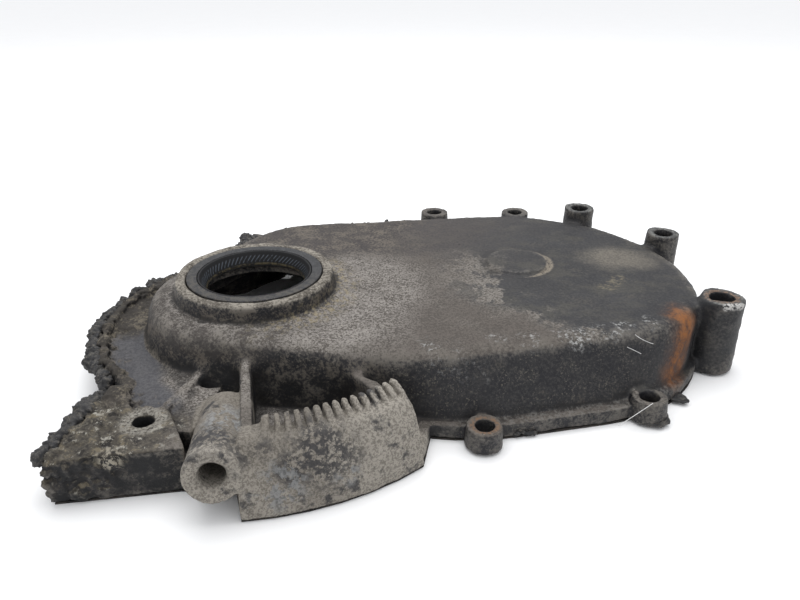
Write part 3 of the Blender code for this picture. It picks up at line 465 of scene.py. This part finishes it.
def paint_corrosion(s):
    """White corrosion along the near shoulder and the near flange."""
    bloom = s.stroke((96.0, -43.0, 29.0), (112.0, -40.0, 22.0), 8.0, 0.5, 0.8, 5.0, 1.0)
    for first, last in zip(BLOOM_LINE, BLOOM_LINE[1:]):
        bloom = bloom | s.stroke(first, last, 5.0, 0.5, 1.0, 5.0, 2.0)
    bloom = bloom * s.noise(2.0, 5.0, 0.75, seed=14.0).step(0.52, 0.60)
    bloom = bloom * s.noise(14.0, seed=23.0).step(0.40, 0.55)
    s.paint(bloom * 0.9, (0.420, 0.420, 0.410))
    ledge = s.z.step(9.5, 7.0) * s.z.step(4.0, 5.2) * s.x.step(95.0, 115.0) * s.y.step(0.0, -20.0)
    ledge = ledge * s.up.step(0.3, 0.9) * s.noise(1.8, 4.0, 0.7, seed=15.0).step(0.46, 0.60)
    s.paint(ledge * 0.5, (0.190, 0.183, 0.170))
    return bloom


def paint_stains(s):
    """Tan stain and crescent by the cam end, a pale crust, and the rust-orange smear."""
    stain = s.spot((186.0, 67.0, 35.5), (19.0, 14.0, 7.0), 0.55, 0.9, 10.0) * s.up.step(0.4, 0.9)
    tan = s.colour(s.fine.step(0.35, 0.65), (0.095, 0.084, 0.068), (0.190, 0.168, 0.135))
    s.paint(stain * 0.75, tan)
    crescent = s.spot((130.9, 52.5, 36.5), (19.8, 19.8, 6.0), 0.04, 0.08)
    crescent = crescent * s.spot((127.8, 51.4, 36.5), (18.8, 19.6, 12.0), 0.06).step(0.9, 0.1)
    s.paint(crescent * s.mixed(0.38, 0.52) * 0.85, (0.240, 0.205, 0.160))
    flake = s.stroke((176.0, 28.0, 35.5), (184.0, 40.0, 35.5), 4.0, 0.4, 1.4, 4.0)
    s.paint(flake * s.noise(2.6, 5.0, 0.75, seed=16.0).step(0.45, 0.62) * 0.55, (0.200, 0.170, 0.110))
    rust = s.stroke((208.5, 3.0, 31.0), (203.0, -7.0, 12.0), 8.0, 0.8, 0.8, 9.0)
    rust = rust * (0.40 + 0.60 * s.mixed(0.40, 0.58))
    orange = s.colour(s.middle.step(0.4, 0.6), (0.120, 0.045, 0.016), (0.260, 0.098, 0.028))
    s.paint(rust * 0.95, orange)
    return rust


def paint_bosses(s):
    """Bolt bosses: a dark tall one, scuffed tops, and rust round two of the holes."""
    tall_x, tall_y = TALL_HOLE
    tall = s.stroke((tall_x, tall_y, 0.0), (tall_x, tall_y, 36.5), 11.0, 0.1)
    s.paint(tall * (0.55 + 0.35 * s.middle.step(0.6, 0.45)), (0.017, 0.018, 0.020))
    tops = s.z.step(37.2, 37.7) * s.x.step(212.0, 216.0)
    tops = tops | (s.z.step(41.4, 42.0) * s.from_crank.step(60.0, 70.0))
    scuffed = s.colour((s.fine + s.middle * 0.4).step(0.62, 0.80), (0.040, 0.040, 0.040),
                       (0.170, 0.170, 0.160))
    s.paint(tops * s.up.step(0.7, 0.95) * 0.9, scuffed)
    for centre, reach in (((tall_x, tall_y, 38.0), 8.2), ((119.0, -62.1, 9.7), 6.4)):
        ring = s.spot(centre, (reach, reach, 3.0), 0.12, 0.3, 4.0) * s.up.step(0.6, 0.9)
        s.paint(ring * s.fine.step(0.40, 0.58) * 0.7, (0.200, 0.110, 0.058))
    burr = s.stroke((229.0, 9.6, 37.4), (236.5, 12.0, 37.4), 1.8, 0.4, 0.9, 2.0)
    s.paint(burr * s.fine.step(0.44, 0.52), (0.460, 0.450, 0.430))


def cast_aluminium():
    """Dirty cast aluminium: oily and dark to the right, dry and speckled on the left."""
    s = CastSurface()
    grains = paint_oil(s)
    paint_far_film(s)
    dry, pits, dusting = paint_dry_film(s)
    left = paint_left_wall(s, dry)
    paint_edges(s)
    paint_collar(s)
    light, bare = paint_scale_and_tube(s)
    web = paint_web(s)
    ear, crust = paint_ear(s)
    bloom = paint_corrosion(s)
    rust = paint_stains(s)
    paint_bosses(s)

    dull = (dry | light) | (ear | rust)
    roughness = 0.55 + 0.30 * dull + (s.middle - 0.5) * 0.25 + 0.12 * left - 0.1 * web
    bump = s.fine * 0.26 + s.grit * 0.10 + s.middle * 0.25 + crust * ear * 0.6 + bloom * 0.15
    bump = bump - pits * 0.15 + grains * 0.12 + dusting * dry * 0.10
    return s.finish(s.base, roughness, bump, 0.6, metallic=0.10 + 0.5 * (bare * light))


def seal_case_finish():
    """Dark film over the pressed case, brown in its low side."""
    m = Material("seal_case_dark", specular=0.3)
    mottle = m.noise(3.0, 4.0, 0.6, seed=21.0)
    scuff = m.noise(0.8, 2.0, 0.6, seed=22.0)
    colour = m.colour((mottle * 0.5 + scuff * 0.5).step(0.42, 0.60), (0.016, 0.016, 0.018),
                      (0.048, 0.049, 0.052))
    dirt = m.y.step(16.0, -24.0) * (mottle * 0.6 + scuff * 0.4).step(0.44, 0.56)
    colour = m.colour(dirt * 0.7, colour, (0.070, 0.062, 0.050))
    return m.finish(colour, 0.5 + (mottle - 0.5) * 0.3, scuff * 0.2 + mottle * 0.15, 0.5)


def seal_lip_finish():
    """Black rubber. The pumping ribs carry a painted highlight, and old grease rings the lip."""
    m = Material("seal_lip_black", specular=0.3)
    mottle = m.noise(2.0, 4.0, 0.6, seed=23.0)
    turn = m.node("Math", 0, (m.y, m.x), operation="ARCTAN2")
    ribs = m.node("Math", 0, (turn * SEAL_RIBS + m.z * SEAL_RIB_SLANT,), operation="SINE")
    band = m.z.step(39.6, 40.2) * m.z.step(43.2, 42.6)
    # Painted highlight: lighter bluish streaks along the rib crests.
    rib_highlight = ribs.step(0.35, 0.85) * band * mottle.step(0.3, 0.5)
    colour = m.colour(rib_highlight, (0.004, 0.004, 0.005), (0.060, 0.070, 0.085))
    grease = m.z.step(37.6, 38.2) * m.z.step(39.6, 39.0)
    colour = m.colour(grease * mottle.step(0.35, 0.6) * 0.8, colour, (0.110, 0.090, 0.048))
    return m.finish(colour, 0.40 + 0.3 * mottle, mottle * 0.1, 0.3)


def sealant_finish():
    """Black old sealant, dusty on its crests."""
    m = Material("old_sealant_lumps", specular=0.5)
    lumps = m.noise(2.2, 5.0, 0.7, seed=31.0)
    grit = m.noise(0.6, 2.0, 0.6, seed=32.0)
    colour = m.colour(lumps.step(0.40, 0.62), (0.012, 0.012, 0.014), (0.050, 0.047, 0.044))
    dust = (lumps * 0.5 + grit * 0.5).step(0.54, 0.62)
    colour = m.colour(dust * 0.7, colour, (0.150, 0.135, 0.110))
    return m.finish(colour, 0.45 + 0.4 * lumps, lumps * 0.5 + grit * 0.15, 0.7)


def gasket_finish():
    """Torn, oil-soaked gasket paper."""
    m = Material("gasket_paper_torn", specular=0.3)
    fibre = m.noise(1.1, 4.0, 0.7, stretch=(1.0, 1.0, 4.0), seed=41.0)
    stain = m.noise(8.0, 4.0, 0.6, seed=42.0)
    colour = m.colour(stain.step(0.4, 0.6), (0.018, 0.017, 0.017), (0.045, 0.040, 0.036))
    colour = m.colour(fibre.step(0.55, 0.66) * 0.6, colour, (0.110, 0.100, 0.085))
    return m.finish(colour, 0.75 + 0.2 * fibre, fibre * 0.4, 0.6)


def spring_finish():
    """Wire of the garter spring under an oily film."""
    m = Material("garter_spring_wire", metallic=0.8)
    turns = m.noise(0.8, 1.0, 0.5, stretch=(1.0, 1.0, 0.3), seed=51.0)
    film = m.noise(4.0, 3.0, 0.6, seed=52.0)
    colour = m.colour(film.step(0.4, 0.65), (0.190, 0.150, 0.090), (0.060, 0.048, 0.036))
    return m.finish(colour, 0.35 + 0.3 * film, turns * 0.5, 0.5)


def lint_finish():
    """White fibres of a cloth."""
    m = Material("white_lint", specular=0.3)
    fibre = m.noise(0.5, 2.0, 0.5, seed=61.0)
    colour = m.colour(fibre, (0.55, 0.54, 0.52), (0.80, 0.80, 0.80))
    return m.finish(colour, 0.7 + 0.2 * fibre, fibre * 0.1, 0.3)


def floor_finish():
    """Plain pale floor."""
    m = Material("pale_floor", specular=0.2)
    grain = m.noise(60.0, 3.0, 0.5, seed=71.0)
    colour = m.colour(grain, (0.90, 0.90, 0.90), (0.93, 0.93, 0.93))
    return m.finish(colour, 0.85 + 0.05 * grain, grain * 0.02, 0.1)


def select_only(obj):
    """Deselects everything and selects one object."""
    bpy.ops.object.select_all(action="DESELECT")
    obj.select_set(True)
    bpy.context.view_layer.objects.active = obj


def link(name, mesh, material):
    """A new object for a mesh, with one material."""
    obj = bpy.data.objects.new(name, mesh)
    bpy.context.scene.collection.objects.link(obj)
    mesh.materials.clear()
    mesh.materials.append(material)
    return obj


def modify(obj, kind, **settings):
    """Adds a modifier, sets it up and applies it."""
    select_only(obj)
    made = obj.modifiers.new(kind.lower(), kind)
    for key, value in settings.items():
        setattr(made, key, value)
    bpy.ops.object.modifier_apply(modifier=made.name)


def coordinates(mesh):
    """The mesh's points as an array, in metres."""
    points = np.empty(len(mesh.vertices) * 3, np.float32)
    mesh.vertices.foreach_get("co", points)
    return points.reshape(-1, 3)


def mm_points(mesh):
    """The mesh's points in millimetres from the crank axis."""
    return (coordinates(mesh) - np.array(CRANK, np.float32)) / MM


def capsule(points, start, end, radius, soft):
    """Weight 1 within a radius of a line between two places, fading over soft."""
    start = np.array(start, np.float32)
    along = np.array(end, np.float32) - start
    share = np.clip((points - start) @ along / max(along @ along, 1e-9), 0.0, 1.0)
    away = np.linalg.norm(points - start - share[:, None] * along, axis=1)
    return np.clip((radius + soft - away) / soft, 0.0, 1.0)


def weigh(obj, name, weights):
    """Stores weights as a vertex group, in twenty levels."""
    group = obj.vertex_groups.new(name=name)
    levels = np.round(weights * 20.0).astype(int)
    for level in range(1, 21):
        found = np.nonzero(levels == level)[0]
        if len(found):
            group.add(found.tolist(), level / 20.0, "REPLACE")


def clouds(name, size, depth=2):
    """A cloud texture for displacing."""
    texture = bpy.data.textures.new(name, "CLOUDS")
    texture.noise_scale = size
    texture.noise_depth = depth
    return texture


def displace(obj, texture, strength, group="", middle=0.5):
    """Moves the surface in and out by a texture."""
    modify(obj, "DISPLACE", texture=texture, strength=strength, mid_level=middle,
           vertex_group=group, texture_coords="LOCAL")


def neighbour_mean(values, edges, counts):
    """Each point's mean over its neighbours."""
    total = np.zeros_like(values)
    np.add.at(total, edges[:, 0], values[edges[:, 1]])
    np.add.at(total, edges[:, 1], values[edges[:, 0]])
    return total / counts


def measure_surface(mesh, passes):
    """Stores how much each point stands out, is sunk in, and faces up."""
    points = coordinates(mesh).astype(np.float64)
    edges = np.empty(len(mesh.edges) * 2, np.int32)
    mesh.edges.foreach_get("vertices", edges)
    edges = edges.reshape(-1, 2)
    counts = np.bincount(edges.ravel(), minlength=len(points)).astype(np.float64)
    counts = np.maximum(counts, 1.0)[:, None]
    normals = np.empty(len(points) * 3, np.float32)
    mesh.vertices.foreach_get("normal", normals)
    normals = normals.reshape(-1, 3)
    smooth = points
    for _ in range(passes):
        smooth = 0.5 * smooth + 0.5 * neighbour_mean(smooth, edges, counts)
    stands = np.einsum("ij,ij->i", points - smooth, normals) / MM
    for _ in range(2):
        stands = neighbour_mean(stands[:, None], edges, counts)[:, 0]
    for name, values in (("ridge", np.clip(stands * 2.0, 0.0, 1.0)),
                         ("recess", np.clip(-stands * 2.0, 0.0, 1.0)),
                         ("up", normals[:, 2])):
        layer = mesh.attributes.new(name, "FLOAT", "POINT")
        layer.data.foreach_set("value", values.astype(np.float32))


def thin_out(obj, most):
    """Brings a mesh down to so many triangles."""
    triangles = sum(len(face.vertices) - 2 for face in obj.data.polygons)
    if triangles > most:
        modify(obj, "DECIMATE", ratio=most / triangles)


def shade_smooth(obj):
    """Shades a piece smooth and leaves nothing selected."""
    select_only(obj)
    bpy.ops.object.shade_smooth()
    bpy.ops.object.select_all(action="DESELECT")


def dress_casting(node, material):
    """A skin over the casting: fillets softened, sand-cast unevenness, crusted places."""
    skin = merged_copy("casting_skin", node, material)
    modify(skin, "REMESH", mode="VOXEL", voxel_size=SKIN_VOXEL, adaptivity=0.0)
    points = mm_points(skin.data)
    soft = np.zeros(len(points), np.float32)
    for start, end, radius in SOFT_PLACES:
        soft = np.maximum(soft, capsule(points, start, end, radius, 5.0))
    reach = np.linalg.norm(points[:, :2], axis=1)
    collar_foot = np.clip(1.0 - np.abs(reach - 46.0) / 8.0, 0.0, 1.0) * (points[:, 2] < 40.0)
    soft = np.maximum(soft, collar_foot * (points[:, 2] > 30.0))
    weigh(skin, "soft", soft)
    crust = np.zeros(len(points), np.float32)
    for start, end, radius, fade, share in CRUST_PLACES:
        crust = np.maximum(crust, share * capsule(points, start, end, radius, fade))
    clear = capsule(points, (*EAR_HOLE, 0.0), (*EAR_HOLE, 40.0), 9.0, 3.0)
    weigh(skin, "crust", crust * (1.0 - clear))
    roll = np.zeros(len(points), np.float32)
    for start, end in zip(SHOULDER_LINE, SHOULDER_LINE[1:]):
        roll = np.maximum(roll, capsule(points, start, end, 5.0, 9.0))
    weigh(skin, "roll", roll)
    modify(skin, "SMOOTH", factor=0.5, iterations=3)
    modify(skin, "SMOOTH", factor=0.5, iterations=ROLL_PASSES, vertex_group="roll")
    modify(skin, "SMOOTH", factor=0.5, iterations=SOFT_PASSES, vertex_group="soft")
    displace(skin, clouds("casting_swell", 16.0 * MM), 1.3 * MM)
    displace(skin, clouds("casting_grain", 2.4 * MM, 3), 0.45 * MM)
    displace(skin, clouds("casting_crust", 6.0 * MM, 2), 5.0 * MM, "crust")
    displace(skin, clouds("casting_scab", 2.0 * MM, 4), 2.6 * MM, "crust")
    thin_out(skin, SKIN_TRIANGLES)
    measure_surface(skin.data, 14)
    shade_smooth(skin)
    return skin


def edit(obj):
    """Into edit mode with all of one object selected."""
    select_only(obj)
    bpy.ops.object.mode_set(mode="EDIT")
    bpy.ops.mesh.select_all(action="SELECT")


def settle(obj):
    """Out of edit mode, with the object's place applied to its mesh."""
    bpy.ops.object.mode_set(mode="OBJECT")
    select_only(obj)
    bpy.ops.object.transform_apply(location=True, rotation=True, scale=True)
    bpy.ops.object.select_all(action="DESELECT")


def added(name, material):
    """Names the primitive that was just added and gives it its material."""
    obj = bpy.context.active_object
    obj.name = obj.data.name = name
    obj.data.materials.append(material)
    return obj


def merged_copy(name, node, material):
    """A copy of a CAD node's mesh with its loose triangles joined up."""
    obj = link(name, node.data.copy(), material)
    edit(obj)
    bpy.ops.mesh.remove_doubles(threshold=0.001 * MM)
    bpy.ops.object.mode_set(mode="OBJECT")
    return obj


def turned(name, profile, steps, material):
    """A ring: a circle extruded from point to point of a closed (radius, height) profile."""
    radius, height = profile[0]
    bpy.ops.mesh.primitive_circle_add(vertices=steps, radius=radius * MM, fill_type="NOTHING",
                                      location=at(0.0, 0.0, height))
    ring = added(name, material)
    edit(ring)
    for next_radius, next_height in profile[1:] + profile[:1]:
        rise = (next_height - height) * MM
        bpy.ops.mesh.extrude_region_move(TRANSFORM_OT_translate={"value": (0.0, 0.0, rise)})
        share = next_radius / radius
        bpy.ops.transform.resize(value=(share, share, 1.0), center_override=at(0.0, 0.0, next_height))
        radius, height = next_radius, next_height
    bpy.ops.mesh.select_all(action="SELECT")
    bpy.ops.mesh.remove_doubles(threshold=0.005 * MM)
    bpy.ops.mesh.normals_make_consistent(inside=False)
    settle(ring)
    return ring


def round_profile(corners, radius, steps=4):
    """Rounds every corner of a closed profile by about a radius."""
    rounded = []
    count = len(corners)
    for index, corner in enumerate(corners):
        here = Vector(corner)
        before = Vector(corners[index - 1]) - here
        after = Vector(corners[(index + 1) % count]) - here
        reach = min(radius, before.length * 0.4, after.length * 0.4)
        start = here + before.normalized() * reach
        end = here + after.normalized() * reach
        for step in range(steps + 1):
            share = step / steps
            point = start * (1 - share) ** 2 + here * 2 * share * (1 - share) + end * share ** 2
            rounded.append(tuple(point))
    return rounded


def seal_pieces(case_material, lip_material):
    """The pressed case, and the lip with its slanted pumping ribs."""
    case = turned("seal_case_pressed", round_profile(SEAL_CASE_CORNERS, 0.5), SEAL_CASE_STEPS,
                  case_material)
    lip = turned("seal_lip_moulded", round_profile(SEAL_LIP_CORNERS, 0.35, 3), SEAL_LIP_STEPS,
                 lip_material)
    for vertex in lip.data.vertices:
        local = (vertex.co - CRANK) / MM
        radius = math.hypot(local.x, local.y)
        band = max(0.0, 1.0 - abs(local.z - SEAL_RIB_Z) / SEAL_RIB_BAND)
        if radius < SEAL_RIB_OUTER and band > 0.0:
            turn = math.atan2(local.y, local.x)
            wave = max(0.0, math.sin(turn * SEAL_RIBS + local.z * SEAL_RIB_SLANT))
            grown = radius - SEAL_RIB_DEPTH * wave * min(1.0, band * 2.0)
            vertex.co.x = CRANK.x + local.x / radius * grown * MM
            vertex.co.y = CRANK.y + local.y / radius * grown * MM
    for piece in (case, lip):
        shade_smooth(piece)
    return case, lip


def height_of(carrier, x, y):
    """How high a piece's surface lies at a place, in millimetres."""
    hit, place, _, _ = carrier.ray_cast(at(x, y, 80.0), (0.0, 0.0, -1.0))
    return (place.z - CRANK.z) / MM if hit else 0.0


def lying_on(carrier, places, lift):
    """Places moved along the photograph's lines of sight on to a piece's surface."""
    eye = at(*EYE)
    found = []
    for place in places:
        hit, point, normal, _ = carrier.ray_cast(eye, (at(*place) - eye).normalized())
        if hit:
            found.append(tuple((point - CRANK) / MM + normal * lift))
    return found


def far_shoulder(carrier, x, height):
    """The farthest place at x where the carrier's surface reaches a height."""
    y = 140.0
    while y > 60.0 and height_of(carrier, x, y) < height:
        y -= 0.5
    return x, y, height_of(carrier, x, y)


def crumbs(name, route, spacing, size, material, seed):
    """Torn lumps of old sealant strewn along a route on what carries them."""
    random = np.random.default_rng(seed)
    lumps = []
    for start, end in zip(route, route[1:]):
        start, end = Vector(start), Vector(end)
        count = max(1, round((end - start).length / spacing))
        for index in range(count):
            place = start.lerp(end, (index + random.uniform(0.0, 0.9)) / count)
            spread = size * random.uniform(0.45, 1.0)
            place += Vector(random.normal(0.0, size * 0.3, 3))
            flat = Vector(random.uniform(0.7, 1.4, 3))
            flat.z *= 0.7
            bpy.ops.mesh.primitive_ico_sphere_add(subdivisions=3, radius=spread * MM, location=at(*place),
                                                  scale=flat)
            lumps.append(bpy.context.active_object)
    for lump in lumps:
        lump.select_set(True)
    bpy.ops.object.join()
    piece = added(name, material)
    settle(piece)
    return torn(piece, 1.0, seed)


def flap(name, centre, size, turn, low_z, thickness, material):
    """A torn flap of gasket: an uneven disc, drawn out, turned and given its thickness."""
    bpy.ops.mesh.primitive_circle_add(vertices=9, radius=MM, fill_type="NGON", location=at(*centre, low_z))
    piece = added(name, material)
    edit(piece)
    middle = at(*centre, low_z)
    bpy.ops.transform.resize(value=(size[0], size[1], 1.0), center_override=middle)
    bpy.ops.transform.rotate(value=math.radians(turn), orient_axis="Z", center_override=middle)
    bpy.ops.mesh.extrude_region_move(TRANSFORM_OT_translate={"value": (0.0, 0.0, thickness * MM)})
    bpy.ops.mesh.select_all(action="SELECT")
    bpy.ops.mesh.normals_make_consistent(inside=False)
    settle(piece)
    return torn(piece, 0.45, 7.0)


def torn(piece, swell, seed):
    """Remeshes a rough shape and breaks its surface up."""
    modify(piece, "REMESH", mode="VOXEL", voxel_size=CRUMB_VOXEL)
    displace(piece, clouds(f"{piece.name}_large", (4.0 + 0.1 * seed) * MM, 2), 2.6 * swell * MM)
    displace(piece, clouds(f"{piece.name}_small", 1.4 * MM, 4), 1.6 * swell * MM)
    shade_smooth(piece)
    return piece


def lumps_over(name, node, material, swell, seed):
    """Old sealant: a CAD bead broken up into torn lumps."""
    piece = merged_copy(name, node, material)
    modify(piece, "REMESH", mode="VOXEL", voxel_size=BEAD_VOXEL)
    displace(piece, clouds(f"{name}_large", (5.0 + seed) * MM, 2), 2.6 * swell * MM, middle=0.30)
    displace(piece, clouds(f"{name}_small", (1.5 + 0.1 * seed) * MM, 4), 1.4 * swell * MM)
    modify(piece, "SMOOTH", factor=0.4, iterations=1)
    thin_out(piece, BEAD_TRIANGLES)
    shade_smooth(piece)
    return piece


def lint(name, places, radius, material):
    """A thin fibre through places, as a mesh tube."""
    curve = bpy.data.curves.new(name, "CURVE")
    curve.dimensions = "3D"
    curve.bevel_depth = radius * MM
    curve.bevel_resolution = 1
    curve.use_fill_caps = True
    spline = curve.splines.new("NURBS")
    spline.points.add(len(places) - 1)
    for point, place in zip(spline.points, places):
        point.co = (*at(*place), 1.0)
    spline.use_endpoint_u = True
    spline.order_u = 4
    obj = bpy.data.objects.new(name, curve)
    bpy.context.scene.collection.objects.link(obj)
    select_only(obj)
    bpy.ops.object.convert(target="MESH")
    obj.data.materials.clear()
    obj.data.materials.append(material)
    shade_smooth(obj)
    return obj


def fibres_and_crumbs(skin, black):
    """What lies loose on the casting: white fibres, lumps of sealant and flaps of gasket."""
    white = lint_finish()
    far_edge = [far_shoulder(skin, x, FAR_EDGE_Z) for x in FAR_EDGE_X]
    far_ear = [(x, y, height_of(skin, x, y) + 1.0) for x, y in FAR_EAR_PLACES]
    far_ear = [place for place in far_ear if place[2] > FAR_EAR_LEAST_Z]
    return [lint("lint_long", LINT_LONG, 0.16, white),
            lint("lint_short", lying_on(skin, LINT_SHORT, LINT_LIFT), 0.13, white),
            lint("lint_low", lying_on(skin, LINT_LOW, LINT_LIFT), 0.12, white),
            crumbs("sealant_far_edge", far_edge, 2.4, 2.0, black, 3),
            crumbs("sealant_far_ear_top", far_ear, 2.6, 3.2, black, 4),
            crumbs("sealant_near_flange", NEAR_FLANGE_LINE, 1.5, 1.3, black, 5),
            flap("gasket_flake", (206.0, -14.0), (8.0, 4.2), 40.0, 0.3, 1.2, black),
            flap("gasket_flap", (190.5, -31.0), (11.5, 8.5), 38.0, 0.4, 1.8, black)]


def camera():
    """The photograph's camera."""
    data = bpy.data.cameras.new("photo_camera")
    data.lens = LENS
    data.sensor_width = 36.0
    obj = bpy.data.objects.new("photo_camera", data)
    bpy.context.scene.collection.objects.link(obj)
    down = math.radians(VIEW_DOWN_DEG)
    ahead = Vector((*VIEW_HEADING, 0.0)).normalized()
    look = ahead * math.cos(down) - Vector((0.0, 0.0, math.sin(down)))
    right = look.cross(Vector((0.0, 0.0, 1.0))).normalized()
    basis = Matrix((right, right.cross(look), -look)).transposed().to_4x4()
    obj.matrix_world = Matrix.Translation(at(*EYE)) @ basis
    bpy.context.scene.camera = obj


def lamp():
    """A wide soft lamp overhead."""
    data = bpy.data.lights.new("overhead", "AREA")
    data.size = LAMP_SIZE
    data.energy = LAMP_POWER
    obj = bpy.data.objects.new("overhead", data)
    obj.location = at(*LAMP_PLACE)
    obj.rotation_euler = (at(*LAMP_TARGET) - obj.location).to_track_quat("-Z", "Y").to_euler()
    bpy.context.scene.collection.objects.link(obj)


def sky():
    """Soft light from all round, stronger from above."""
    world = bpy.data.worlds.new("soft_world")
    world.use_nodes = True
    maker = NodeTree(world.node_tree)
    height = maker.node("SeparateXYZ", "Z", (maker.node("TexCoord", "Generated", ()),))
    brightness = maker.node("MapRange", "Result", {"Value": height, "To Min": SKY_LOW,
                                                   "To Max": SKY_HIGH})
    background = maker.tree.nodes["Background"]
    background.inputs["Color"].default_value = SKY_COLOUR
    maker.feed(background.inputs["Strength"], brightness)
    bpy.context.scene.world = world


def studio():
    """Pale floor, sky and lamp."""
    bpy.ops.mesh.primitive_grid_add(x_subdivisions=8, y_subdivisions=8, size=FLOOR_SIZE)
    floor = added("floor", floor_finish())
    sky()
    lamp()
    bpy.context.scene.view_settings.view_transform = "Standard"


def main():
    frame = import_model()
    bpy.ops.object.select_all(action="DESELECT")
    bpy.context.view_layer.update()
    nodes = frame["nodes"]
    camera()
    studio()

    skin = dress_casting(nodes["cover_casting"], cast_aluminium())
    case, lip = seal_pieces(seal_case_finish(), seal_lip_finish())
    black = sealant_finish()
    arch = lumps_over("sealant_arch_lumps", nodes["sealant_arch"], black, 3.0, 1.0)
    near = lumps_over("sealant_near_lumps", nodes["sealant_near_ear"], black, 3.0, 2.0)
    far = lumps_over("sealant_far_lumps", nodes["sealant_far_ear"], black, 3.0, 3.0)
    for node, material in (("gasket_remains", gasket_finish()), ("garter_spring", spring_finish())):
        nodes[node].material_slots[0].material = material
    loose = fibres_and_crumbs(skin, black)

    for piece, node, slot in ((skin, "cover_casting", "cast_aluminium"),
                              (case, "seal_case", "seal_steel"),
                              (lip, "seal_lip", "seal_rubber"),
                              (arch, "sealant_arch", "old_sealant"),
                              (near, "sealant_near_ear", "old_sealant"),
                              (far, "sealant_far_ear", "old_sealant")):
        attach(piece, "root")
        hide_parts(node)
    for piece in loose:
        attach(piece, "root")


main()
